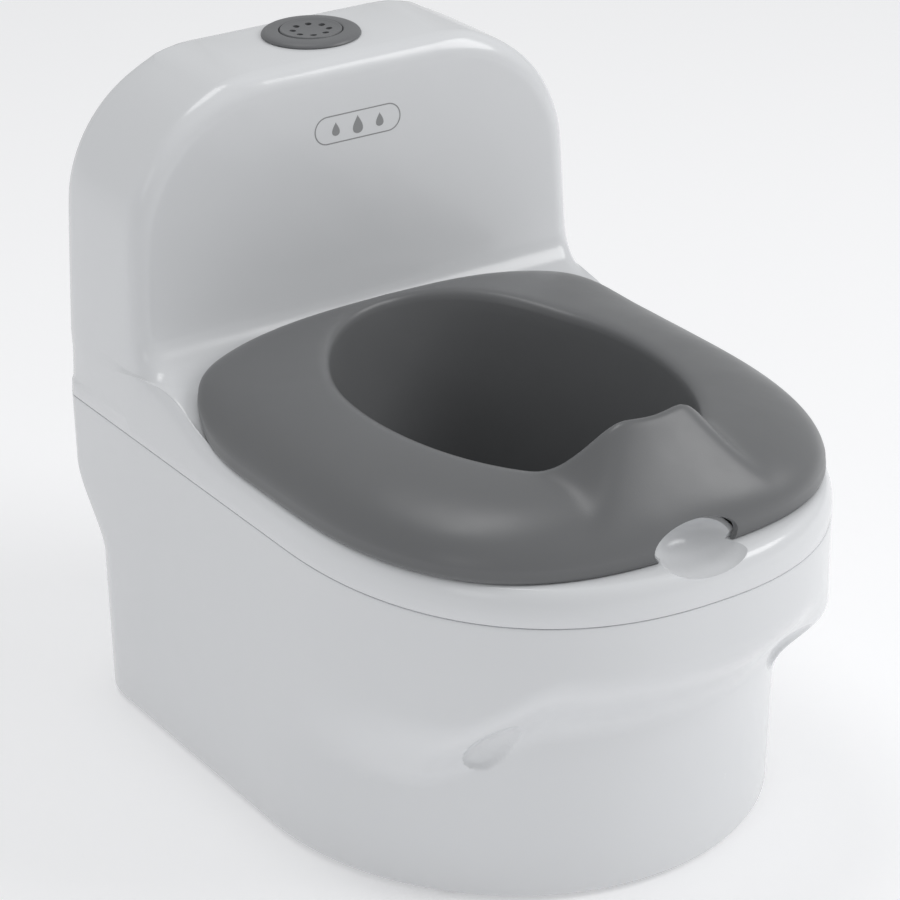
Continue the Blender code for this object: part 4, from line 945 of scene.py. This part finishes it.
def fine_upper():
    seam = SEAM_HEIGHT + GAP
    low = [[(x, y, seam) for x, y, _ in body_ring(SEAM_HEIGHT, EDGE_ROUND)],
           [(x, y, seam + 0.3 * EDGE_ROUND) for x, y, _ in body_ring(SEAM_HEIGHT, 0.3 * EDGE_ROUND)],
           [(x, y, seam + EDGE_ROUND) for x, y, _ in body_ring(SEAM_HEIGHT)]]
    shares = 1.0 - (1.0 - np.linspace(0.0, 1.0, 62)[1:-1]) ** 1.15
    outer = upper_rings(0.0, np.linspace(0.0, 90.0, 15), shares, np.linspace(8.0, 90.0, 14),
                        np.degrees(np.arcsin(np.linspace(0.03, 1.0, 44) ** 0.75)))
    outer = relax(as_rings(low + outer), RELAX_ROUNDS, 5, len(outer) - 1)
    tongue, start = WALL - TONGUE_THICKNESS - GAP, SEAM_HEIGHT + TONGUE_HEIGHT + GAP
    inner = [[(x, y, seam) for x, y, _ in body_ring(SEAM_HEIGHT, tongue)],
             [(x, y, start) for x, y, _ in body_ring(SEAM_HEIGHT, tongue)],
             [(x, y, start) for x, y, _ in body_ring(SEAM_HEIGHT, WALL)]]
    inner += upper_rings(WALL, (0.0, 30.0, 60.0, 90.0), (0.2, 0.4, 0.55, 0.7, 0.82, 0.92),
                         (22.0, 45.0, 67.0, 90.0), (10, 20, 30, 40, 49, 58, 66, 74, 81, 86, 90))
    start_low = [(x, y, SEAM_HEIGHT - 0.01) for x, y, _ in inner[0]]
    shell = loft("upper_shell_skin", [list(map(tuple, ring)) for ring in outer])
    cavity = cut(loft("upper_cavity", [start_low] + inner[1:]), finger_scoop("scoop_inside", WALL, 96, 48))
    cut(shell, cavity)
    join(shell, scoop_wall())
    cut(shell, finger_scoop("scoop", 0.0, 96, 48))
    hole = [rim_point(j, DECK_HOLE_CLEARANCE + SEAT_WALL) for j in range(seat_count())]
    cutters = [loft("bowl_hole", [[(x, y, DECK_HEIGHT - 0.02) for x, y in hole],
                                  [(x, y, DECK_HEIGHT + 0.05) for x, y in hole]])]
    bore, under, over = MODULE_RADIUS + GAP, TOTAL_HEIGHT - 0.01, TOTAL_HEIGHT + 0.01
    cutters.append(turned("module_hole", [(0.0, under), (bore, under), (bore, over), (0.0, over)],
                          (0.0, MODULE_Y), steps=96))
    cut(shell, merge("holes", cutters))
    low = POST_TOP + GAP
    bosses, pilots = [], []
    for x, y in SCREW_PLACES:
        top = deck_surface(y) - 0.5 * WALL
        bosses.append(turned("boss", [(0.0, low), (BOSS_RADIUS - 0.0003, low), (BOSS_RADIUS, low + 0.0003),
                                      (BOSS_RADIUS, top), (0.0, top)], (x, y), steps=32))
        pilot = SCREW_SHANK + GAP
        pilots.append(turned("pilot", [(0.0, low - 0.01), (pilot, low - 0.01), (pilot, low + 0.0165),
                                       (0.0, low + 0.0165)], (x, y), steps=24))
    join(shell, merge("bosses", bosses))
    cut(shell, merge("pilots", pilots))
    return shell


def panel_share(x, y, s):
    """How much of the guard's front panel applies; its sides steepen and spread towards the flange."""
    if y > SEAT_MIDDLE:
        return 0.0
    inner = GUARD_CORNER * GUARD_HALF_WIDTH + PANEL_SPREAD * s
    return 1.0 - smooth_step(inner, inner + 0.030 * (1.0 - s) ** 2 + 0.011, abs(x))


def fine_insert():
    """Seat ring, splash guard and bowl as one moulding of even wall."""
    count = seat_count()
    top, under = [], []
    for j in range(count):
        xo, yo = flange_point(j)
        xi, yi = rim_point(j)
        span = math.hypot(xo - xi, yo - yi)
        out = np.array([xo - xi, yo - yi]) / span
        rise_start = TANK_FRONT - TANK_FOOT - RAMP_LENGTH
        clear = RAMP_STAND_OFF * smooth_step(rise_start - 0.020, rise_start + 0.010, yo)
        bottom = deck_surface(yo) + GAP + clear
        lip = bottom + SEAT_LIP
        crown = crest(xi, yi)
        plain = crown - GUARD_RISE * guard_share(xi, yi)
        crown = plain + GUARD_RISE * panel_share(xi, yi, 0.0)
        roll = RIM_ROUND / span
        upper = [(span - 0.0007, bottom), (span - 0.0002, bottom + 0.0002), (span, bottom + 0.0007),
                 (span, lip - 0.0008), (span - 0.0002, lip - 0.0003)]
        for angle in list(np.linspace(84.0, 20.0, 30)) + list(np.linspace(17.0, 2.0, 8)):
            a = math.radians(angle)
            s = roll + (1.0 - roll) * math.sin(a)
            dome = lip + (plain - lip) * math.cos(a)
            raised = GUARD_RISE * (1.0 - s) ** PANEL_SWEEP + PANEL_RISE * s * (1.0 - s)
            upper.append((s * span, dome + raised * panel_share(mix(xi, xo, s), mix(yi, yo, s), s)))
        last_s, last_z = upper[-1]
        for angle in (25.0, 50.0, 75.0, 90.0):
            a = math.radians(angle)
            upper.append((last_s * (1.0 - math.sin(a)), last_z - RIM_ROUND * (1.0 - math.cos(a)) * 1.1))
        drop = upper[-1][1]
        skin = [(xi + out[0] * s, yi + out[1] * s, z) for s, z in upper]
        ring = np.array(upper[4:-4])
        slope = np.gradient(ring[:, 1], ring[:, 0])
        lowered = ring[:, 1] - SEAT_WALL * np.sqrt(1.0 + np.clip(slope, -3.0, 3.0) ** 2)
        keep = [(min(s, span - SEAT_WALL), z) for s, z in zip(ring[:, 0], lowered)]
        inner = [(span - 0.0007 - 0.4 * SEAT_WALL, bottom), (span - SEAT_WALL, bottom + 0.0006)]
        inner += [(max(s, SEAT_WALL + 0.0003), max(z, bottom + 0.0008)) for s, z in keep]
        below = [(xi + out[0] * s, yi + out[1] * s, z) for s, z in inner]
        low = BOWL_FLOOR + BOWL_CORNER
        under_top = inner[-1][1]
        for t in np.linspace(0.06, 1.0, 16):
            px, py = rim_point(j, 0.0, mix(1.0, BOWL_TAPER, t))
            z = mix(drop, low, t)
            skin.append((px, py, z))
            below.append((px + SEAT_WALL * out[0], py + SEAT_WALL * out[1], mix(under_top, low, t)))
        for angle in np.linspace(9.0, 90.0, 10):
            a = math.radians(angle)
            px, py = rim_point(j, -BOWL_CORNER * (1.0 - math.cos(a)), BOWL_TAPER)
            skin.append((px, py, low - BOWL_CORNER * math.sin(a)))
            bx, by = rim_point(j, SEAT_WALL - (BOWL_CORNER + SEAT_WALL) * (1.0 - math.cos(a)), BOWL_TAPER)
            below.append((bx, by, low - (BOWL_CORNER + SEAT_WALL) * math.sin(a)))
        for share in (0.75, 0.5, 0.25, 0.08):
            px, py = rim_point(j, -BOWL_CORNER, BOWL_TAPER * share)
            skin.append((px, py, BOWL_FLOOR))
            below.append((px, py, BOWL_FLOOR - SEAT_WALL))
        top.append(skin)
        under.append(below)
    top, under = np.array(top).transpose(1, 0, 2), np.array(under).transpose(1, 0, 2)
    top = relax(top, 3, 6, top.shape[0] - 4)
    rings = [list(map(tuple, r)) for r in top[::-1]] + [list(map(tuple, r)) for r in under]
    seat = loft("potty_insert_skin", rings)
    if signed_volume(seat) < 0.0:
        seat.data.flip_normals()
    cut(seat, finger_scoop("scoop_seat", GAP, 96, 48))
    return seat


# ==== repeated details =====================================================================
def ring_tree():
    """Geometry Nodes: cylinders standing in a ring, realised and painted."""
    tree = bpy.data.node_groups.new("ring_of_cylinders", "GeometryNodeTree")
    face = tree.interface
    face.new_socket("Geometry", in_out="OUTPUT", socket_type="NodeSocketGeometry")
    for name, kind in (("Count", "NodeSocketInt"), ("Sides", "NodeSocketInt"),
                       ("Ring Radius", "NodeSocketFloat"), ("Item Radius", "NodeSocketFloat"),
                       ("Item Height", "NodeSocketFloat"),
                       ("Turn", "NodeSocketFloat"), ("Middle", "NodeSocketVector"),
                       ("Material", "NodeSocketMaterial")):
        face.new_socket(name, in_out="INPUT", socket_type=kind)
    inlet = tree.nodes.new("NodeGroupInput")
    outlet = tree.nodes.new("NodeGroupOutput")
    circle = tree.nodes.new("GeometryNodeMeshCircle")
    item = tree.nodes.new("GeometryNodeMeshCylinder")
    place = tree.nodes.new("GeometryNodeInstanceOnPoints")
    real = tree.nodes.new("GeometryNodeRealizeInstances")
    move = tree.nodes.new("GeometryNodeTransform")
    spin = tree.nodes.new("ShaderNodeCombineXYZ")
    paint = tree.nodes.new("GeometryNodeSetMaterial")
    link = tree.links.new
    link(inlet.outputs["Count"], circle.inputs["Vertices"])
    link(inlet.outputs["Ring Radius"], circle.inputs["Radius"])
    link(inlet.outputs["Sides"], item.inputs["Vertices"])
    link(inlet.outputs["Item Radius"], item.inputs["Radius"])
    link(inlet.outputs["Item Height"], item.inputs["Depth"])
    link(circle.outputs["Mesh"], place.inputs["Points"])
    link(item.outputs["Mesh"], place.inputs["Instance"])
    link(inlet.outputs["Turn"], spin.inputs["Z"])
    link(spin.outputs["Vector"], move.inputs["Rotation"])
    link(inlet.outputs["Middle"], move.inputs["Translation"])
    link(place.outputs["Instances"], move.inputs["Geometry"])
    link(move.outputs["Geometry"], real.inputs["Geometry"])
    link(real.outputs["Geometry"], paint.inputs["Geometry"])
    link(inlet.outputs["Material"], paint.inputs["Material"])
    link(paint.outputs["Geometry"], outlet.inputs["Geometry"])
    return tree


def ring_of(name, tree, material, **sizes):
    """A plain mesh object made by the ring tree with the given sizes."""
    host = bpy.data.objects.new(name, bpy.data.meshes.new(name))
    bpy.context.collection.objects.link(host)
    modifier = host.modifiers.new("ring", "NODES")
    modifier.node_group = tree
    values = {key.replace("_", " ").title(): value for key, value in sizes.items()}
    values["Material"] = material
    for socket in tree.interface.items_tree:
        if socket.in_out == "INPUT":
            modifier[socket.identifier] = values[socket.name]
    bpy.context.view_layer.update()
    graph = bpy.context.evaluated_depsgraph_get()
    mesh = bpy.data.meshes.new_from_object(host.evaluated_get(graph))
    host.modifiers.remove(modifier)
    old = host.data
    host.data = mesh
    bpy.data.meshes.remove(old)
    return host


# ==== module, screws and feet ==============================================================
def fine_bezel():
    top = TOTAL_HEIGHT + GAP
    inner, skirt = BUTTON_RADIUS + 0.0004, MODULE_RADIUS - HOUSING_WALL
    low, ledge = BOARD_Z + BOARD_THICKNESS + GAP, top - 0.0026
    crown = top + BEZEL_HEIGHT
    profile = [(inner, crown - 0.0006), (inner + 0.0002, crown - 0.0002), (inner + 0.0006, crown),
               (inner + 0.0012, crown + 0.0001), (BEZEL_RADIUS - 0.0030, crown - 0.0002),
               (BEZEL_RADIUS - 0.0016, crown - 0.0005), (BEZEL_RADIUS - 0.0007, crown - 0.0010),
               (BEZEL_RADIUS - 0.0002, crown - 0.0016), (BEZEL_RADIUS, top + 0.0003),
               (BEZEL_RADIUS - 0.0002, top), (MODULE_RADIUS + 0.0004, top), (MODULE_RADIUS, top - 0.0004),
               (MODULE_RADIUS, low + 0.0003), (MODULE_RADIUS - 0.0003, low), (skirt, low), (skirt, ledge),
               (inner, ledge)]
    return turned("module_bezel_ring", profile, (0.0, MODULE_Y), steps=128)


def fine_button(tree):
    rim = TOTAL_HEIGHT + GAP + BEZEL_HEIGHT + BUTTON_PROUD
    ledge = TOTAL_HEIGHT + GAP - 0.0026 - GAP
    profile = [(0.0, rim - BUTTON_DISH)]
    for share in np.linspace(0.08, 0.90, 12):
        profile.append((BUTTON_RADIUS * share, rim - BUTTON_DISH * (1.0 - share ** 2) ** 0.8))
    profile += [(BUTTON_RADIUS - 0.0009, rim - 0.00005), (BUTTON_RADIUS - 0.0004, rim - 0.0001),
                (BUTTON_RADIUS - 0.0001, rim - 0.0004), (BUTTON_RADIUS, rim - 0.0009),
                (BUTTON_RADIUS, ledge), (BUTTON_FLANGE, ledge), (BUTTON_FLANGE, ledge - 0.0014),
                (BUTTON_RADIUS - BUTTON_SKIN, ledge - 0.0014),
                (BUTTON_RADIUS - BUTTON_SKIN, rim - BUTTON_SKIN),
                (0.0, rim - BUTTON_DISH - BUTTON_SKIN)]
    button = turned("flush_button_cap", profile, (0.0, MODULE_Y), steps=128)
    holes = ring_of("sound_holes", tree, None, count=BUTTON_HOLES, sides=32, ring_radius=BUTTON_HOLE_RING,
                    item_radius=BUTTON_HOLE_RADIUS, item_height=0.02, turn=math.pi / BUTTON_HOLES,
                    middle=(0.0, MODULE_Y, rim))
    cut(button, holes)
    stem_low = BOARD_Z + BOARD_THICKNESS + 2.0 * GAP + SWITCH_HEIGHT + 0.0034
    return join(button, turned("stem", [(0.0, stem_low), (0.0012, stem_low), (0.0014, stem_low + 0.0002),
                                        (0.0014, rim - BUTTON_SKIN), (0.0, rim - BUTTON_SKIN)],
                               (0.0, MODULE_Y - SWITCH_PLACE), steps=32))


def fine_cup(tree):
    low, top = CUP_BOTTOM, BOARD_Z + BOARD_THICKNESS
    wide, narrow = MODULE_RADIUS - HOUSING_WALL, BOARD_RADIUS - 0.0012
    ledge, door = BOARD_Z - GAP, DOOR_RADIUS + GAP
    floor = low + DOOR_THICKNESS + GAP
    side = MODULE_RADIUS - 0.0004
    profile = [(door, low), (side - 0.0008, low), (side - 0.0002, low + 0.0003), (side, low + 0.0009),
               (side, top - 0.0030), (MODULE_RADIUS, top - 0.0026), (MODULE_RADIUS, top), (wide, top),
               (wide, ledge), (narrow, ledge), (narrow, floor + 0.0012), (door - 0.0014, floor + 0.0012),
               (door - 0.0014, floor), (door, floor)]
    cup = turned("module_cup_shell", profile, (0.0, MODULE_Y), steps=96)
    ribs = ring_of("cup_ribs", tree, None, count=CUP_RIBS, sides=12, ring_radius=side - 0.0002,
                   item_radius=CUP_RIB_RADIUS, item_height=0.0130, turn=0.0,
                   middle=(0.0, MODULE_Y, low + 0.0085))
    return join(cup, ribs)


def fine_door(tree):
    low, high = CUP_BOTTOM, CUP_BOTTOM + DOOR_THICKNESS
    door = turned("battery_door_disc", [(0.0, low), (DOOR_RADIUS - 0.0006, low),
                                        (DOOR_RADIUS - 0.0002, low + 0.0002), (DOOR_RADIUS, low + 0.0006),
                                        (DOOR_RADIUS, high), (0.0, high)],
                  (0.0, MODULE_Y), steps=96)
    hollows = ring_of("door_grips", tree, None, count=DOOR_GRIPS, sides=20, ring_radius=DOOR_GRIP_RING,
                      item_radius=DOOR_GRIP_RADIUS, item_height=0.0008, turn=0.0,
                      middle=(0.0, MODULE_Y, low))
    cut(door, hollows)
    return cut(door, turned("door_hole", [(0.0, low - 0.01), (DOOR_SCREW_HOLE, low - 0.01),
                                          (DOOR_SCREW_HOLE, low + 0.01), (0.0, low + 0.01)],
                            (0.0, MODULE_Y), steps=32))


def screw_shape(name, place, head_low, head, head_height, shank, length):
    """Pan-head screw pointing up, with a cross recess and a coarse thread."""
    x, y = place
    base = head_low + head_height
    profile = [(0.0, head_low), (head * 0.55, head_low + 0.00005),
               (head * 0.85, head_low + head_height * 0.22),
               (head, head_low + head_height * 0.55), (head, base), (shank, base)]
    turns = int((length - 0.004) / THREAD_PITCH)
    for k in range(turns):
        z = base + 0.001 + k * THREAD_PITCH
        profile += [(shank * THREAD_ROOT, z), (shank, z + 0.5 * THREAD_PITCH)]
    tip = base + length
    profile += [(shank * THREAD_ROOT, tip - 0.002), (0.0002, tip - 0.0002), (0.0, tip)]
    screw = turned(name, profile, place, steps=36)
    arm, wide, deep = head * 0.55, head * 0.10, head_height * 0.6
    first = box("slot", (x - arm, y - wide, head_low - 0.002), (x + arm, y + wide, head_low + deep))
    second = box("slot", (x - wide, y - arm, head_low - 0.002), (x + wide, y + arm, head_low + deep))
    cut(screw, first)
    return cut(screw, second)


def fine_screws():
    head = POST_SHELF - GAP
    made = [screw_shape("screw", place, head - SCREW_HEAD_HEIGHT, SCREW_HEAD, SCREW_HEAD_HEIGHT,
                        SCREW_SHANK, SCREW_LENGTH) for place in SCREW_PLACES]
    return merge("shell_screws", made)


def fine_feet():
    floor, seat = BASE_BOTTOM + FLOOR_THICKNESS, BASE_BOTTOM + FOOT_RECESS - GAP
    made = []
    for place in FOOT_PLACES:
        profile = [(0.0, 0.0003)]
        for ring in range(FOOT_GROOVES):
            inner = 0.0018 + 0.0018 * ring
            profile += [(inner, 0.0003), (inner + 0.0003, 0.0),
                        (inner + 0.0010, 0.0), (inner + 0.0013, 0.0003)]
        profile += [(FOOT_RADIUS - 0.0006, 0.0002), (FOOT_RADIUS - 0.0002, 0.0004), (FOOT_RADIUS, 0.0009),
                    (FOOT_RADIUS, seat - 0.0003), (FOOT_RADIUS - 0.0003, seat), (FOOT_STEM, seat),
                    (FOOT_STEM, floor + GAP), (FOOT_BARB, floor + GAP), (FOOT_BARB, floor + GAP + 0.0006),
                    (FOOT_STEM - 0.0012, floor + 0.0036), (0.0, floor + 0.0036)]
        made.append(turned("foot", profile, place, steps=64))
    return merge("rubber_feet", made)


def printed_mark():
    """Thin printed badge on the tank: an outlined capsule round three water drops."""
    y = TANK_FRONT
    made = []

    def capsule(half, radius):
        points = []
        for side in (1, -1):
            for k in range(33):
                a = -0.5 * math.pi + math.pi * k / 32
                points.append((side * (half - radius + radius * math.cos(a)), side * radius * math.sin(a)))
        return points

    outer, inner = capsule(MARK_HALF_WIDTH, MARK_HALF_HEIGHT), capsule(MARK_HALF_WIDTH - MARK_LINE,
                                                                     MARK_HALF_HEIGHT - MARK_LINE)
    layers = ((outer, -MARK_FILM), (inner, -MARK_FILM), (inner, MARK_FILM), (outer, MARK_FILM))
    rings = [[(x, y + depth, z + MARK_HEIGHT) for x, z in outline] for outline, depth in layers]
    made.append(loft("capsule", rings, closed=True))
    for x_mid, size in MARK_DROPS:
        drop = []
        for k in range(40):
            a = 2.0 * math.pi * k / 40
            narrow = math.sin(0.5 * a) ** 1.4
            drop.append((x_mid + size * math.sin(a) * narrow, MARK_HEIGHT + size * math.cos(a) * 1.15))
        faces = [[(x, y + depth, z) for x, z in drop] for depth in (-MARK_FILM, MARK_FILM)]
        made.append(loft("drop", faces))
    return merge("tank_mark", made)


# ==== putting it together ==================================================================
def dress(item, material, body, nodes, sharp=35.0):
    """Paint, shade and ride a finished piece, standing in for its CAD nodes."""
    item.data.materials.clear()
    item.data.materials.append(material)
    finish(item, sharp)
    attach(item, body)
    if nodes:
        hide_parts(*nodes)
    return item


def paint_inner_nodes(mats):
    """Inner pieces keep their CAD shape and take a full finish."""
    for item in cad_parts.values():
        for place in item.material_slots:
            kind = place.material.name.split(".")[0] if place.material else ""
            if kind in mats:
                place.material = mats[kind]


def build_pieces():
    mats = make_finishes()
    tree = ring_tree()
    dress(fine_base(), mats["white_shell"], "chair", ["base_shell"])
    dress(fine_upper(), mats["white_shell"], "chair", ["upper_shell"])
    dress(fine_insert(), mats["grey_seat"], "insert", ["potty_insert"], 50.0)
    dress(fine_bezel(), mats["grey_module"], "module", ["module_bezel"])
    dress(fine_button(tree), mats["grey_module"], "button", ["flush_button"])
    dress(fine_cup(tree), mats["dark_plastic"], "module", ["module_cup"])
    dress(fine_door(tree), mats["dark_plastic"], "door", ["battery_door"])
    dress(fine_screws(), mats["steel"], "chair", ["shell_screw_%d" % k for k in range(1, 5)])
    dress(fine_feet(), mats["rubber"], "chair", ["rubber_foot_%d" % k for k in range(1, 5)])
    dress(printed_mark(), mats["print"], "chair", [])
    paint_inner_nodes(mats)


def area_light(name, place, target, size, power, tint=(1.0, 1.0, 1.0)):
    lamp = bpy.data.lights.new(name, "AREA")
    lamp.shape, lamp.size, lamp.energy, lamp.color = "DISK", size, power, tint
    item = bpy.data.objects.new(name, lamp)
    item.location = place
    item.rotation_mode = "QUATERNION"
    item.rotation_quaternion = (Vector(place) - Vector(target)).to_track_quat("Z", "Y")
    bpy.context.scene.collection.objects.link(item)


def set_the_stage():
    material = bpy.data.materials.new("studio_floor")
    material.use_nodes = True
    shader = material.node_tree.nodes["Principled BSDF"]
    shader.inputs["Base Color"].default_value = (0.86, 0.86, 0.87, 1.0)
    shader.inputs["Roughness"].default_value = 0.6
    shader.inputs["Emission Color"].default_value = (1.0, 1.0, 1.0, 1.0)
    shader.inputs["Emission Strength"].default_value = FLOOR_GLOW
    floor = loft("studio_floor", [[(-6, -6, -0.01), (6, -6, -0.01), (6, 6, -0.01), (-6, 6, -0.01)],
                                  [(-6, -6, 0.0), (6, -6, 0.0), (6, 6, 0.0), (-6, 6, 0.0)]])
    floor.data.materials.append(material)
    world = bpy.data.worlds.new("studio")
    bpy.context.scene.world = world
    world.use_nodes = True
    sky = world.node_tree.nodes["Background"]
    sky.inputs["Color"].default_value = (0.98, 0.99, 1.0, 1.0)
    sky.inputs["Strength"].default_value = WORLD_LIGHT
    target = (0.0, 0.0, 0.15)
    area_light("key", (1.5, -1.1, 1.5), target, 1.3, KEY_LIGHT)
    area_light("top", (-0.3, 0.5, 2.2), target, 1.0, TOP_LIGHT)
    area_light("left_strip", (-1.7, -0.7, 0.9), target, 0.7, LEFT_LIGHT)


def set_the_camera():
    lens = bpy.data.cameras.new("view")
    item = bpy.data.objects.new("view", lens)
    bpy.context.scene.collection.objects.link(item)
    azimuth, elevation, roll = (math.radians(a) for a in CAMERA_TURN)
    back = Vector((math.sin(azimuth) * math.cos(elevation), -math.cos(azimuth) * math.cos(elevation),
                   math.sin(elevation)))
    right = Vector((0.0, 0.0, 1.0)).cross(back).normalized()
    above = back.cross(right)
    turn = Matrix((right, above, back)).transposed() @ Matrix.Rotation(roll, 3, "Z")
    item.matrix_world = Matrix.Translation(Vector(CAMERA_TARGET) + back * CAMERA_DISTANCE) @ turn.to_4x4()
    lens.sensor_width, lens.lens = 36.0, CAMERA_LENS
    lens.shift_x, lens.shift_y = CAMERA_SHIFT
    lens.dof.use_dof = False
    bpy.context.scene.camera = item
    bpy.context.scene.view_settings.view_transform = "Standard"


build_pieces()
set_the_stage()
set_the_camera()
